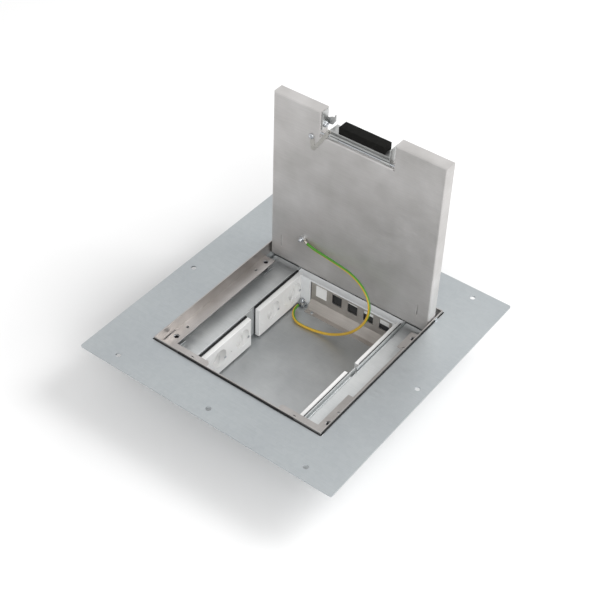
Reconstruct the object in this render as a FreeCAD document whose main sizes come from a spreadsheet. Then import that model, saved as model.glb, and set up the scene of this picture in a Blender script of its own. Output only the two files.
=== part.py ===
import FreeCAD, Part
import math
import os
import re
import Sketcher
from FreeCAD import Placement, Rotation, Vector

# Floor socket box for a raised or screed floor: a galvanised tub under a mounting plate, a stainless
# cassette frame with a cable-outlet lid, four double-socket modules, a data panel and an earth wire.
# Frame of the part: origin at the centre of the tub's underside, X along the front edge,
# Y towards the lid hinge, Z up. The lid stands open. Lid pieces are drawn closed and then swung open.

SIZES = {
    # mounting plate
    "plate_width": 560, "plate_length": 580, "plate_thick": 3, "plate_corner": 4,
    "opening_width": 380, "opening_length": 392,
    "fixing_hole": 10.5, "corner_hole_in_x": 70, "corner_hole_in_y": 25, "side_hole_in": 22,
    # tub
    "tub_depth": 114, "tub_sheet": 2, "tub_flange": 14,
    "knockout_dia": 25, "knockout_pitch": 90, "knockout_height": 52, "grommet_lip": 3,
    "grommet_thick": 2, "grommet_clear": 0.15,
    # cassette frame
    "frame_gap": 2, "rim_wall": 2, "rim_proud": 5, "ledge_thick": 2,
    "ledge_side": 25, "ledge_relief": 15, "relief_front": -72, "relief_rear": 82, "ledge_end": 132,
    "ledge_front": 29, "cable_cut_width": 164, "cable_cut_left": 6, "cable_cut_corner": 6,
    "mark_slot_x": 116, "mark_slot_in": 20.5, "mark_slot_long": 6, "mark_slot_wide": 1.5,
    "level_hole": 11, "level_inset": 12.4, "level_front": -149, "level_rear": 118, "lock_step": 31,
    "lock_hole": 6, "fold_slit": 1.5, "fold_slit_long": 31, "fold_slit_past": 5,
    "seal_proud": 2, "seal_deep": 12, "seal_front_long": 260, "seal_clear": 0.1, "seal_from_corner": 7,
    "seal_from_hinge": 8,
    # levelling screws
    "screw_core": 8, "screw_long": 17.5, "socket_across": 4, "socket_deep": 5,
    "nut_across": 13, "nut_high": 6.5, "thread_clear": 0.1,
    "bracket_drop": 38, "bracket_thick": 2, "bracket_reach": 24, "bracket_long": 30, "bracket_leg": 22,
    # lid
    "lid_thick": 24, "lid_sheet": 2, "lid_side_clear": 2, "lid_end_clear": 1.5, "lid_seat": 0.3,
    "lid_bend": 3.5, "notch_width": 158, "notch_deep": 51, "corner_relief": 5,
    "slot_offset": 158, "slot_wide": 2, "slot_long": 28, "slot_ahead": 21.5,
    "stiffener_thick": 3, "stiffener_gap": 1, "stiffener_rear_gap": 3, "lid_pin_clear": 0.3,
    # lid hinge
    "hinge_back": 27.5, "hinge_drop": 3.5, "pin_dia": 4, "pin_fit": 0.02, "pin_running": 0.05,
    "block_wide": 18, "block_long": 20, "block_gap": 0.3, "pin_tip": 4, "pin_head": 8, "pin_head_high": 1.5,
    # cable flap
    "rod_dia": 4, "rod_from_notch": 5, "rod_from_face": 3.5, "rod_running": 0.05,
    "flap_sheet": 1.5, "flap_from_rod": 15, "flap_gap": 0.5, "flap_left": 18, "flap_right": 12.5,
    "knuckle_wall": 1.2, "knuckle_long": 18, "pad_long": 98, "pad_deep": 15, "pad_shift": 8.5,
    "flange_back": 4, "lip_from_rod": 5.5, "lip_high": 4, "ear_drop": 3,
    # lid bolt
    "bolt_sheet": 2, "bolt_high": 16, "bolt_from_face": 4, "bolt_tip_back": 1.3, "bolt_long": 39.5,
    "bolt_travel": 4.5, "bolt_clear": 0.3, "tab_from_top": 3, "tab_sheet": 1.5,
    "tab_root": 31.7, "tab_waist": 20.2, "tab_top": 7.7, "tab_dip": 13.2, "tab_reach": 19.2,
    "tab_shoulder": 9.7, "tab_hook": 3.5, "tab_foot": 12.7,
    "guide_core": 5, "guide_back": 31, "guide_rise": 13,
    "guide_head": 12, "guide_head_high": 5, "catch_clear": 1,
    "spring_sheet": 0.8, "spring_wide": 8, "spring_screw_x": 97, "spring_screw_back": 59,
    "spring_lean": 4, "spring_fall": 28.5, "spring_elbow": 12, "spring_tip_x": 60, "spring_tip_back": 35.5,
    "spring_arm": 14, "spring_rise": 9,
    "spring_screw_core": 4, "spring_screw_head": 11, "spring_screw_head_high": 2.4,
    # socket modules
    "face_front": 108.8, "rear_step": 2.5, "front_centre": -78.5, "rear_centre": 88.5,
    "module_top": 43, "module_lift": 4, "cover_long": 139, "cover_deep": 9.6, "cover_wall": 2,
    "cover_edge": 1.2, "socket_pitch": 68.5, "socket_shift": 9, "socket_lift": 3,
    "recess_dia": 39, "recess_deep": 15, "cup_wall": 2, "pin_hole": 5, "pin_pitch": 19,
    "clip_wide": 6, "clip_deep": 9, "clip_thick": 1.5,
    "gasket_deep": 3.6, "gasket_inset": 1, "gasket_band": 3, "gasket_rise": 4,
    "carrier_sheet": 1.5, "carrier_inset": 1, "cup_clear": 1.5, "web_rise": 7, "web_past": 13,
    "lip_drop": 5,
    "contact_wide": 42, "contact_deep": 24,
    "cover_screw_core": 3, "cover_screw_head": 5.5, "cover_screw_head_high": 1.2,
    "end_screw_back": 61, "screw_below": 5,
    # side housings
    "housing_inner": 126.6, "housing_outer": 187, "housing_top": 43.5, "housing_sheet": 1.5,
    "housing_front": -157, "housing_rear": 168, "housing_foot": 14, "window_clear": 2, "housing_bend": 3,
    "foot_screw_core": 5, "foot_screw_head": 9, "foot_screw_head_high": 3.2, "foot_screw_inset": 14,
    # rear frame and data panel
    "rear_face": 152.5, "rear_sheet": 1.5, "rear_flange": 16, "flange_reach": 123, "rear_clear": 0.3,
    "post_wide": 23, "post_slim": 5, "panel_back": 3.5, "panel_sheet": 1.5, "panel_border": 4,
    "panel_fold": 52, "panel_foot": 13, "panel_toe": 9,
    "port_wide": 23, "port_high": 25, "port_pitch": 37.3, "port_drop": 24, "port_shift": 2.5,
    "blank_proud": 1, "blank_lip": 1, "blank_fit": 0.1,
    "panel_screw_core": 4, "panel_screw_head": 7, "panel_screw_head_high": 2.6, "panel_screw_inset": 16,
    # earth points
    "stud_dia": 6, "stud_long": 14, "stud_nut_across": 10, "stud_nut_high": 5, "washer_dia": 12,
    "washer_thick": 1.2, "lug_thick": 1.2, "lug_width": 11, "lug_reach": 5.5, "barrel_dia": 7.2,
    "barrel_long": 8, "wire_dia": 5.6, "lid_stud_x": -106.6, "lid_stud_ahead": 56.5,
    "floor_stud_x": -102, "floor_stud_back": 6, "floor_stud_long": 17,
    "earth_seat": 7, "earth_seat_wide": 16, "earth_seat_long": 11, "earth_seat_sheet": 2,
}

# Route of the earth wire's middle line from the lid's lug to the lug on the tub floor,
# with heights above the tub's underside.
WIRE_ROUTE = [
    (-93.9, 143.2, 170.1), (-80.0, 143.2, 164.8), (-53.0, 142.0, 163.0), (-17.0, 136.5, 163.9),
    (21.5, 130.0, 164.5), (57.0, 121.0, 153.0), (79.0, 111.5, 128.5), (76.5, 105.0, 91.5),
    (46.5, 102.5, 46.0), (0.0, 103.0, 13.0), (-34.0, 99.5, 5.8), (-60.0, 96.5, 5.2),
    (-78.5, 97.3, 5.4), (-90.0, 102.3, 7.0), (-98.0, 110.5, 9.8), (-102.0, 121.5, 12.4),
    (-102.0, 132.8, 12.6),
]
ARC_SHARE = 0.45
# Direction in which the lid's lug points along the open lid, below the X axis.
LID_LUG_DROP = 21.1

DOC = FreeCAD.newDocument("FloorSocketBox")
NODES = []
CUTS = []
# How far a cutting tool reaches past the faces it cuts.
OVER = 1

# Heights and half sizes that several pieces share, as formulas on the sheet.
PLATE_TOP = "(tub_depth + plate_thick)"
RIM_TOP = "(tub_depth + plate_thick + rim_proud)"
WALL_X = "(opening_width / 2)"
WALL_Y = "(opening_length / 2)"
FRAME_X = "(opening_width / 2 - frame_gap)"
FRAME_Y = "(opening_length / 2 - frame_gap)"
INNER_X = "(opening_width / 2 - frame_gap - rim_wall)"
INNER_Y = "(opening_length / 2 - frame_gap - rim_wall)"
LID_UNDER = f"({RIM_TOP} - lid_thick)"
LEDGE_TOP = f"({LID_UNDER} - lid_seat)"
LEDGE_UNDER = f"({LEDGE_TOP} - ledge_thick)"
LID_X = f"({INNER_X} - lid_side_clear)"
LID_Y = f"({INNER_Y} - lid_end_clear)"
LID_FLOOR = f"({LID_UNDER} + lid_sheet)"
NOTCH_X = "(notch_width / 2)"
NOTCH_Y = f"(notch_deep - {LID_Y})"
HINGE_Y = "(opening_length / 2 - hinge_back)"
HINGE_Z = f"({RIM_TOP} - hinge_drop)"
LEVEL_X = f"({INNER_X} - level_inset)"
BRACKET_TOP = f"({PLATE_TOP} - bracket_drop)"
ROD_Y = f"({NOTCH_Y} - rod_from_notch)"
ROD_Z = f"({LID_UNDER} + rod_from_face)"
PAD_LEFT = "(pad_shift - pad_long / 2)"
PAD_RIGHT = "(pad_shift + pad_long / 2)"
WEB_BACK = f"({ROD_Y} - flap_from_rod)"
WEB_FRONT = f"({WEB_BACK} - flap_sheet)"
BOLT_LEFT = f"(bolt_clear - {NOTCH_X})"
BOLT_RIGHT = f"({BOLT_LEFT} + bolt_sheet)"
BOLT_TIP = f"(bolt_tip_back - {LID_Y})"
BOLT_LOW = f"({LID_UNDER} + bolt_from_face)"
BOLT_HIGH = f"({BOLT_LOW} + bolt_high)"
GUIDE_Y = f"(guide_back - {LID_Y})"
GUIDE_Z = f"({LID_UNDER} + guide_rise)"
SPRING_UNDER = f"({LID_UNDER} - spring_sheet)"
SPRING_SCREW_Y = f"(spring_screw_back - {LID_Y})"
COVER_HIGH = f"({PLATE_TOP} - module_top - module_lift - tub_sheet)"
MODULE_Z = f"({PLATE_TOP} - module_top - {COVER_HIGH} / 2)"
HOUSING_TOP = f"({PLATE_TOP} - housing_top)"
LID_STUD_Y = f"({HINGE_Y} - lid_stud_ahead)"
FLOOR_STUD_Y = "(rear_face - floor_stud_back)"
CUP_BACK = "(recess_deep + cup_wall)"
WEB_AT = "(cover_deep + gasket_deep)"


def cell(text):
    """Turn the size names in a formula into references to the sheet."""
    def reference(match):
        return f"Sizes.{match.group(0)}" if match.group(0) in SIZES else match.group(0)
    return re.sub(r"[a-z]+(?:_[a-z]+)*", reference, str(text))


def make_sheet():
    """Put every driving size into a cell of its own with its name as alias."""
    sheet = DOC.addObject("Spreadsheet::Sheet", "Sizes")
    for row, (alias, number) in enumerate(SIZES.items(), start=1):
        sheet.set(f"A{row}", str(number))
        sheet.setAlias(f"A{row}", alias)
    DOC.recompute()


def node(piece):
    """Keep a finished sub-part for the checks and the export."""
    NODES.append(piece)
    return piece


# Sketched pieces

PLANES = {"x": ("YZ_Plane", "1"), "y": ("XZ_Plane", "-1"), "z": ("XY_Plane", "1")}
START_RADIUS = 50.0


def new_body(name):
    return DOC.addObject("PartDesign::Body", name)


def rectangle(left, right, bottom, top):
    return [(left, bottom), (right, bottom), (right, top), (left, top)]


def centred(half_across, half_up):
    return rectangle(f"-({half_across})", half_across, f"-({half_up})", half_up)


def sided(side, near, far):
    """Span between two distances from the middle plane, on the left or the right."""
    return (near, far) if side > 0 else (f"-({far})", f"-({near})")


def pin_point(sketch, geometry, point, across, up):
    """Hold a point of the sketch at a place given by two formulas."""
    for kind, text in (("DistanceX", across), ("DistanceY", up)):
        index = sketch.addConstraint(Sketcher.Constraint(kind, -1, 1, geometry, point, 1.0))
        sketch.setExpression(f"Constraints[{index}]", cell(text))


def add_outline(sketch, corners):
    count = len(corners)
    turn = 2 * math.pi / count
    ring = [Vector(math.cos(i * turn), math.sin(i * turn), 0) * START_RADIUS for i in range(count)]
    first = sketch.GeometryCount
    for i in range(count):
        sketch.addGeometry(Part.LineSegment(ring[i], ring[(i + 1) % count]), False)
    for i, (across, up) in enumerate(corners):
        after = first + (i + 1) % count
        sketch.addConstraint(Sketcher.Constraint("Coincident", first + i, 2, after, 1))
        pin_point(sketch, first + i, 1, across, up)


def add_circle(sketch, across, up, dia):
    index = sketch.addGeometry(Part.Circle(Vector(), Vector(0, 0, 1), 1.0), False)
    pin_point(sketch, index, 3, across, up)
    radius = sketch.addConstraint(Sketcher.Constraint("Radius", index, 1.0))
    sketch.setExpression(f"Constraints[{radius}]", cell(f"({dia}) / 2"))


def draw(body, name, axis, at, outlines, holes):
    """Sketch outlines and holes across an axis of the part, at a place along it."""
    role, side = PLANES[axis]
    plane = next(item for item in body.Origin.OriginFeatures if item.Role == role)
    sketch = body.newObject("Sketcher::SketchObject", name)
    sketch.AttachmentSupport = [(plane, "")]
    sketch.MapMode = "FlatFace"
    sketch.setExpression("AttachmentOffset.Base.z", cell(f"{side} * ({at})"))
    for corners in outlines:
        add_outline(sketch, corners)
    for across, up, dia in holes:
        add_circle(sketch, across, up, dia)
    return sketch


def extrude(body, kind, name, axis, at, low, high, outlines, holes):
    sketch = draw(body, f"{body.Name}_{name}_outline", axis, at, outlines, holes)
    feature = body.newObject(f"PartDesign::{kind}", f"{body.Name}_{name}")
    feature.Profile = sketch
    feature.setExpression("Length", cell(f"({high}) - ({low})"))
    DOC.recompute()
    return feature


def pad(body, name, axis, low, high, outlines=(), holes=()):
    """Add material between two places along an axis."""
    at = high if axis == "y" else low
    return extrude(body, "Pad", name, axis, at, low, high, outlines, holes)


def pocket(body, name, axis, low, high, outlines=(), holes=()):
    """Take material away between two places along an axis."""
    at = low if axis == "y" else high
    before = body.Shape.Volume
    feature = extrude(body, "Pocket", name, axis, at, low, high, outlines, holes)
    CUTS.append((feature.Name, before - feature.Shape.Volume))
    return feature


def round_edges(body, name, base, wanted, radius):
    """Round the edges of a feature that a test picks out."""
    edges = [f"Edge{i}" for i, edge in enumerate(base.Shape.Edges, start=1) if wanted(edge)]
    feature = body.newObject("PartDesign::Fillet", f"{body.Name}_{name}")
    feature.Base = (base, edges)
    feature.setExpression("Radius", cell(radius))
    DOC.recompute()
    return feature


# Pieces from primitives

TURNS = {"x": Rotation(Vector(0, 1, 0), 90), "y": Rotation(Vector(1, 0, 0), -90), "z": Rotation()}
CLOSE = 0.01


def at_place(piece, place):
    for axis, text in zip("xyz", place):
        piece.setExpression(f"Placement.Base.{axis}", cell(text))
    return piece


def block(name, across, along, up):
    """Box between two places on each axis."""
    box = DOC.addObject("Part::Box", name)
    spans = (across, along, up)
    for side, (low, high) in zip(("Length", "Width", "Height"), spans):
        box.setExpression(side, cell(f"({high}) - ({low})"))
    return at_place(box, [low for low, high in spans])


def start_of(axis, centre, low):
    """Starting point of a round piece along an axis, from its two other coordinates."""
    place = list(centre)
    place.insert("xyz".index(axis), low)
    return place


def rod(name, axis, centre, low, high, dia):
    """Cylinder along an axis between two places, round the point of the two other coordinates."""
    cylinder = DOC.addObject("Part::Cylinder", name)
    cylinder.Placement = Placement(Vector(), TURNS[axis])
    cylinder.setExpression("Radius", cell(f"({dia}) / 2"))
    cylinder.setExpression("Height", cell(f"({high}) - ({low})"))
    return at_place(cylinder, start_of(axis, centre, low))


def hexagon(name, axis, centre, low, high, across):
    """Six-sided prism along an axis with its size across flats."""
    prism = DOC.addObject("Part::Prism", name)
    prism.Polygon = 6
    prism.Placement = Placement(Vector(), TURNS[axis])
    prism.setExpression("Circumradius", cell(f"({across}) / 2 / cos(30)"))
    prism.setExpression("Height", cell(f"({high}) - ({low})"))
    return at_place(prism, start_of(axis, centre, low))


def fuse(name, *pieces):
    result = DOC.addObject("Part::MultiFuse", name)
    result.Shapes = list(pieces)
    return result


def cut(name, base, *tools):
    result = DOC.addObject("Part::Cut", name)
    result.Base = base
    result.Tool = tools[0] if len(tools) == 1 else fuse(f"{name}_tools", *tools)
    DOC.recompute()
    CUTS.append((name, base.Shape.Volume - result.Shape.Volume))
    return result


def group(name, pieces):
    """Several separate solids in one node."""
    result = DOC.addObject("Part::Compound", name)
    result.Links = list(pieces)
    return result


def mirrored(name, source):
    """Right-hand copy of a left-hand piece."""
    result = DOC.addObject("Part::Mirroring", name)
    result.Source = source
    result.Normal = Vector(1, 0, 0)
    return result


def ring_nut(name, axis, centre, low, high, across, bore):
    return cut(name, hexagon(f"{name}_body", axis, centre, low, high, across),
               rod(f"{name}_bore", axis, centre, f"({low}) - {OVER}", f"({high}) + {OVER}", bore))


def swing_open(piece):
    """Turn a piece that is drawn on the closed lid a quarter turn back about the lid hinge."""
    piece.Placement = Placement(Vector(), Rotation(Vector(1, 0, 0), -90))
    at_place(piece, ("0", f"{HINGE_Y} - {HINGE_Z}", f"{HINGE_Z} + {HINGE_Y}"))
    return node(piece)


# Plate, tub and cassette frame

def make_mounting_plate():
    holes = [(f"{side_x} * (plate_width / 2 - corner_hole_in_x)",
              f"{side_y} * (plate_length / 2 - corner_hole_in_y)", "fixing_hole")
             for side_x in (-1, 0, 1) for side_y in (-1, 1)]
    holes += [(f"{side} * (plate_width / 2 - side_hole_in)", "0", "fixing_hole") for side in (-1, 1)]
    body = new_body("mounting_plate")
    outlines = [centred("plate_width / 2", "plate_length / 2"), centred(WALL_X, WALL_Y)]
    plate = pad(body, "sheet", "z", "tub_depth", PLATE_TOP, outlines, holes)
    half = SIZES["plate_width"] / 2

    def outer_corner(edge):
        upright = edge.BoundBox.ZLength > SIZES["plate_thick"] - CLOSE
        return upright and abs(abs(edge.CenterOfMass.x) - half) < CLOSE
    round_edges(body, "corners", plate, outer_corner, "plate_corner")
    node(body)


def knockouts():
    """Places of the knock-outs: wall axis, side of the part and distance along the wall."""
    places = [("y", side, f"{step} * knockout_pitch") for side in (-1, 1) for step in (-1, 0, 1)]
    places += [("x", side, f"{step} * knockout_pitch") for side in (-1, 1) for step in (-0.5, 0.5)]
    return places


def across_wall(name, axis, side, along, near, far, dia):
    """Round piece through a tub wall between two distances outward from the wall's inner face."""
    wall = WALL_Y if axis == "y" else WALL_X
    low, high = (near, far) if side > 0 else (far, near)
    return rod(name, axis, (along, "knockout_height"), f"{side} * ({wall} + {low})",
               f"{side} * ({wall} + {high})", dia)


def make_tub():
    shell = fuse("tub_shell",
                 block("tub_outside", (f"-({WALL_X} + tub_sheet)", f"{WALL_X} + tub_sheet"),
                       (f"-({WALL_Y} + tub_sheet)", f"{WALL_Y} + tub_sheet"), ("0", "tub_depth")),
                 block("tub_rim", (f"-({WALL_X} + tub_flange)", f"{WALL_X} + tub_flange"),
                       (f"-({WALL_Y} + tub_flange)", f"{WALL_Y} + tub_flange"),
                       ("tub_depth - tub_sheet", "tub_depth")))
    space = block("tub_space", (f"-{WALL_X}", WALL_X), (f"-{WALL_Y}", WALL_Y),
                  ("tub_sheet", f"tub_depth + {OVER}"))
    holes = [across_wall(f"tub_knockout_{i}", axis, side, along, -OVER, f"tub_sheet + {OVER}",
                         "knockout_dia")
             for i, (axis, side, along) in enumerate(knockouts())]
    node(cut("tub", shell, space, *holes))
    grommets = []
    for i, (axis, side, along) in enumerate(knockouts()):
        plug = across_wall(f"grommet_{i}_plug", axis, side, along, "0", "tub_sheet",
                           "knockout_dia - 2 * grommet_clear")
        lip = across_wall(f"grommet_{i}_lip", axis, side, along, "tub_sheet",
                          "tub_sheet + grommet_thick", "knockout_dia + 2 * grommet_lip")
        grommets.append(fuse(f"grommet_{i}", plug, lip))
    node(group("knockout_grommets", grommets))


def ledge_opening():
    """Outline of the opening that the ledge leaves, with the cable cut and the side reliefs."""
    side = f"({INNER_X} - ledge_side)"
    relief = f"({INNER_X} - ledge_relief)"
    front = f"(ledge_front - {INNER_Y})"
    deep = f"(cable_cut_left - {INNER_Y})"
    half_cut = "(cable_cut_width / 2)"
    right = [(half_cut, deep), (half_cut, front), (side, front), (side, "relief_front"),
             (relief, "relief_front"), (relief, "relief_rear"), (side, "relief_rear"),
             (side, "ledge_end"), (INNER_X, "ledge_end"), (INNER_X, INNER_Y)]
    left = [(f"-{INNER_X}", INNER_Y), (f"-{INNER_X}", "ledge_end"), (f"-{side}", "ledge_end"),
            (f"-{side}", front), (f"-{half_cut}", front), (f"-{half_cut}", deep)]
    return right + left


def level_corners():
    """Side of the part and place along it of each levelling screw."""
    return [(side, along) for side in (-1, 1) for along in ("level_front", "level_rear")]


def make_cassette_frame():
    body = new_body("cassette_frame")
    slit_end = "(level_front + level_hole / 2 + fold_slit_past)"
    slits = [rectangle(*sided(side, f"({INNER_X} - fold_slit)", INNER_X), f"{slit_end} - fold_slit_long",
                       slit_end) for side in (-1, 1)]
    mark_y = f"(mark_slot_in - {INNER_Y})"
    mark_x = ("(mark_slot_x - mark_slot_long / 2)", "(mark_slot_x + mark_slot_long / 2)")
    slits += [rectangle(*sided(side, *mark_x), f"{mark_y} - mark_slot_wide / 2",
                        f"{mark_y} + mark_slot_wide / 2") for side in (-1, 1)]
    holes = [(f"{side} * {LEVEL_X}", along, "level_hole") for side, along in level_corners()]
    holes += [(f"{side} * {LEVEL_X}", along, "lock_hole") for side in (-1, 1)
              for along in ("level_front + lock_step", "level_rear - lock_step")]
    ledge = pad(body, "ledge", "z", LEDGE_UNDER, LEDGE_TOP, [centred(FRAME_X, FRAME_Y), ledge_opening()],
                holes)
    half_cut = SIZES["cable_cut_width"] / 2
    cut_edges = [edge for edge in ledge.Shape.Edges if abs(abs(edge.CenterOfMass.x) - half_cut) < CLOSE]
    cut_front = max(edge.CenterOfMass.y for edge in cut_edges)

    def cut_corner(edge):
        place = edge.CenterOfMass
        return abs(abs(place.x) - half_cut) < CLOSE and abs(place.y - cut_front) < CLOSE
    round_edges(body, "cut_corners", ledge, cut_corner, "cable_cut_corner")
    pocket(body, "slits", "z", LEDGE_UNDER, LEDGE_TOP, slits)
    pad(body, "rim", "z", LEDGE_UNDER, RIM_TOP, [centred(FRAME_X, FRAME_Y), centred(INNER_X, INNER_Y)])
    catch = rectangle(f"{BOLT_LEFT} - catch_clear", f"{BOLT_RIGHT} + catch_clear",
                      f"{BOLT_LOW} - catch_clear", f"{BOLT_HIGH} + catch_clear")
    pocket(body, "catch", "y", f"-{FRAME_Y}", f"-{INNER_Y}", [catch])
    pocket(body, "pin_holes", "x", f"-{FRAME_X}", FRAME_X, (),
           [(HINGE_Y, HINGE_Z, "pin_dia + 2 * pin_fit")])
    node(body)


def make_rim_seals():
    """Rubber strips between the cassette frame and the plate's edge."""
    high = ("tub_depth + plate_thick + seal_proud - seal_deep", "tub_depth + plate_thick + seal_proud")
    front = block("rim_seal_front", ("-seal_front_long / 2", "seal_front_long / 2"),
                  (f"seal_clear - {WALL_Y}", f"-{FRAME_Y}"), high)
    along = (f"seal_from_corner - {FRAME_Y}", f"{HINGE_Y} - seal_from_hinge")
    sides = [block(f"rim_seal_{name}", sided(side, FRAME_X, f"{WALL_X} - seal_clear"), along, high)
             for name, side in (("left", -1), ("right", 1))]
    node(group("rim_seals", [front, *sides]))


def make_levelling():
    screws = []
    nuts = []
    brackets = []
    for i, (side, y) in enumerate(level_corners()):
        x = f"{side} * {LEVEL_X}"
        top = f"({BRACKET_TOP} + screw_long)"
        core = rod(f"level_core_{i}", "z", (x, y), BRACKET_TOP, top, "screw_core")
        key = hexagon(f"level_key_{i}", "z", (x, y), f"{top} - socket_deep", f"{top} + {OVER}",
                      "socket_across")
        screws.append(cut(f"level_screw_{i}", core, key))
        nuts.append(ring_nut(f"level_nut_{i}", "z", (x, y), f"{LEDGE_UNDER} - nut_high", LEDGE_UNDER,
                             "nut_across", "screw_core + 2 * thread_clear"))
        along = (f"{y} - bracket_long / 2", f"{y} + bracket_long / 2")
        tab = block(f"bracket_tab_{i}", sided(side, f"{WALL_X} - bracket_reach", WALL_X), along,
                    (f"{BRACKET_TOP} - bracket_thick", BRACKET_TOP))
        leg = block(f"bracket_leg_{i}", sided(side, f"{WALL_X} - bracket_thick", WALL_X), along,
                    (f"{BRACKET_TOP} - bracket_leg", BRACKET_TOP))
        brackets.append(fuse(f"bracket_{i}", tab, leg))
    node(group("levelling_screws", screws))
    node(group("levelling_nuts", nuts))
    node(group("corner_brackets", brackets))


# Lid, drawn closed

def lid_outline(inset):
    """Outline of the lid with its cable notch, drawn in by a wall."""
    left, right = f"-({LID_X} - {inset})", f"{LID_X} - {inset}"
    front, rear = f"-({LID_Y} - {inset})", f"{LID_Y} - {inset}"
    notch = f"{NOTCH_X} + {inset}"
    notch_end = f"{NOTCH_Y} + {inset}"
    return [(left, front), (f"-({notch})", front), (f"-({notch})", notch_end), (notch, notch_end),
            (notch, front), (right, front), (right, rear), (left, rear)]


def make_lid_tray():
    body = new_body("lid_tray")
    tray = pad(body, "block", "z", LID_UNDER, RIM_TOP, [lid_outline("0")])
    underside = tray.Shape.BoundBox.ZMin

    def lower_edge(edge):
        return edge.BoundBox.ZMax < underside + CLOSE
    round_edges(body, "bends", tray, lower_edge, "lid_bend")
    pocket(body, "recess", "z", LID_FLOOR, RIM_TOP, [lid_outline("lid_sheet")])
    slot_middle = f"({HINGE_Y} - slot_ahead)"
    slots = [rectangle(f"{side} * slot_offset - slot_wide / 2", f"{side} * slot_offset + slot_wide / 2",
                       f"{slot_middle} - slot_long / 2", f"{slot_middle} + slot_long / 2")
             for side in (-1, 1)]
    pocket(body, "floor_holes", "z", LID_UNDER, LID_FLOOR, slots,
           [("-spring_screw_x", SPRING_SCREW_Y, "spring_screw_core + 2 * thread_clear")])
    reliefs = [(f"{side} * {NOTCH_X}", NOTCH_Y, "corner_relief") for side in (-1, 1)]
    pocket(body, "corner_reliefs", "z", f"{LID_UNDER} - {OVER}", LID_FLOOR, (), reliefs)
    pocket(body, "pin_holes", "x", f"-{LID_X}", LID_X, (),
           [(HINGE_Y, HINGE_Z, "pin_dia + 2 * lid_pin_clear")])
    notch_wall = f"({NOTCH_X} + lid_sheet)"
    pocket(body, "rod_holes", "x", f"-{notch_wall}", notch_wall, (),
           [(ROD_Y, ROD_Z, "rod_dia + 2 * pin_fit")])
    pocket(body, "guide_hole", "x", f"-{notch_wall}", "0", (),
           [(GUIDE_Y, GUIDE_Z, "guide_core + 2 * pin_fit")])
    swing_open(body)


def make_lid_stiffener():
    inset = "(lid_sheet + stiffener_gap)"
    corners = lid_outline(inset)
    rear = f"({HINGE_Y} - slot_ahead - slot_long / 2 - stiffener_rear_gap)"
    corners[-2:] = [(f"{LID_X} - {inset}", rear), (f"-({LID_X} - {inset})", rear)]
    body = new_body("lid_stiffener")
    pad(body, "sheet", "z", LID_FLOOR, f"{LID_FLOOR} + stiffener_thick", [corners])
    swing_open(body)


def make_hinge():
    blocks = []
    pins = []
    block_far = f"({LID_X} - lid_sheet)"
    block_near = f"({block_far} - block_wide)"
    for name, side in (("left", -1), ("right", 1)):
        solid = block(f"hinge_block_{name}", sided(side, block_near, block_far),
                      (f"{HINGE_Y} - block_long / 2", f"{HINGE_Y} + block_long / 2"),
                      (LID_FLOOR, f"{RIM_TOP} - block_gap"))
        low, high = sided(side, f"{block_near} - {OVER}", f"{block_far} + {OVER}")
        bore = rod(f"hinge_bore_{name}", "x", (HINGE_Y, HINGE_Z), low, high, "pin_dia + 2 * pin_running")
        blocks.append(cut(f"bored_block_{name}", solid, bore))
        low, high = sided(side, f"{block_near} + pin_tip", FRAME_X)
        shaft = rod(f"hinge_shaft_{name}", "x", (HINGE_Y, HINGE_Z), low, high, "pin_dia")
        low, high = sided(side, FRAME_X, f"{FRAME_X} + pin_head_high")
        head = rod(f"hinge_head_{name}", "x", (HINGE_Y, HINGE_Z), low, high, "pin_head")
        pins.append(fuse(f"hinge_pin_{name}", shaft, head))
    swing_open(group("hinge_blocks", blocks))
    node(group("hinge_pins", pins))


def make_flap():
    notch_wall = f"({NOTCH_X} + lid_sheet)"
    swing_open(group("flap_rod", [rod("flap_rod_bar", "x", (ROD_Y, ROD_Z), f"-{notch_wall}", notch_wall,
                                      "rod_dia")]))

    left, right = f"({PAD_LEFT} - flap_left)", f"({PAD_RIGHT} + flap_right)"
    low, high = f"({LID_UNDER} + flap_gap)", f"({RIM_TOP} - flap_gap)"
    set_back = f"({low} + flange_back)"
    shelf = block("flap_shelf", (left, right), (WEB_FRONT, WEB_BACK), (low, high))
    flange = block("flap_flange", (left, right), (WEB_FRONT, ROD_Y), (set_back, f"{set_back} + flap_sheet"))
    lip_front = f"({ROD_Y} - lip_from_rod)"
    lip = block("flap_lip", (left, right), (f"{lip_front} - lip_high", lip_front),
                (low, f"{set_back} + flap_sheet"))
    ear = block("flap_ear", (f"{right} - flap_sheet", right),
                (f"{WEB_FRONT} - pad_deep", f"{ROD_Y} + ear_drop"), (low, high))
    knuckle_dia = "(rod_dia + 2 * rod_running + 2 * knuckle_wall)"
    ends = [(left, f"{left} + knuckle_long"), (f"{right} - knuckle_long", right)]
    knuckles = [rod(f"flap_knuckle_{i}", "x", (ROD_Y, ROD_Z), near, far, knuckle_dia)
                for i, (near, far) in enumerate(ends)]
    plate = fuse("flap_blank", shelf, flange, lip, ear, *knuckles)
    bore = rod("flap_bore", "x", (ROD_Y, ROD_Z), f"{left} - {OVER}", f"{right} + {OVER}",
               "rod_dia + 2 * rod_running")
    swing_open(cut("flap_plate", plate, bore))
    foam = block("flap_pad_block", (PAD_LEFT, PAD_RIGHT), (f"{WEB_FRONT} - pad_deep", WEB_FRONT),
                 (low, high))
    swing_open(group("flap_pad", [foam]))


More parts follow.
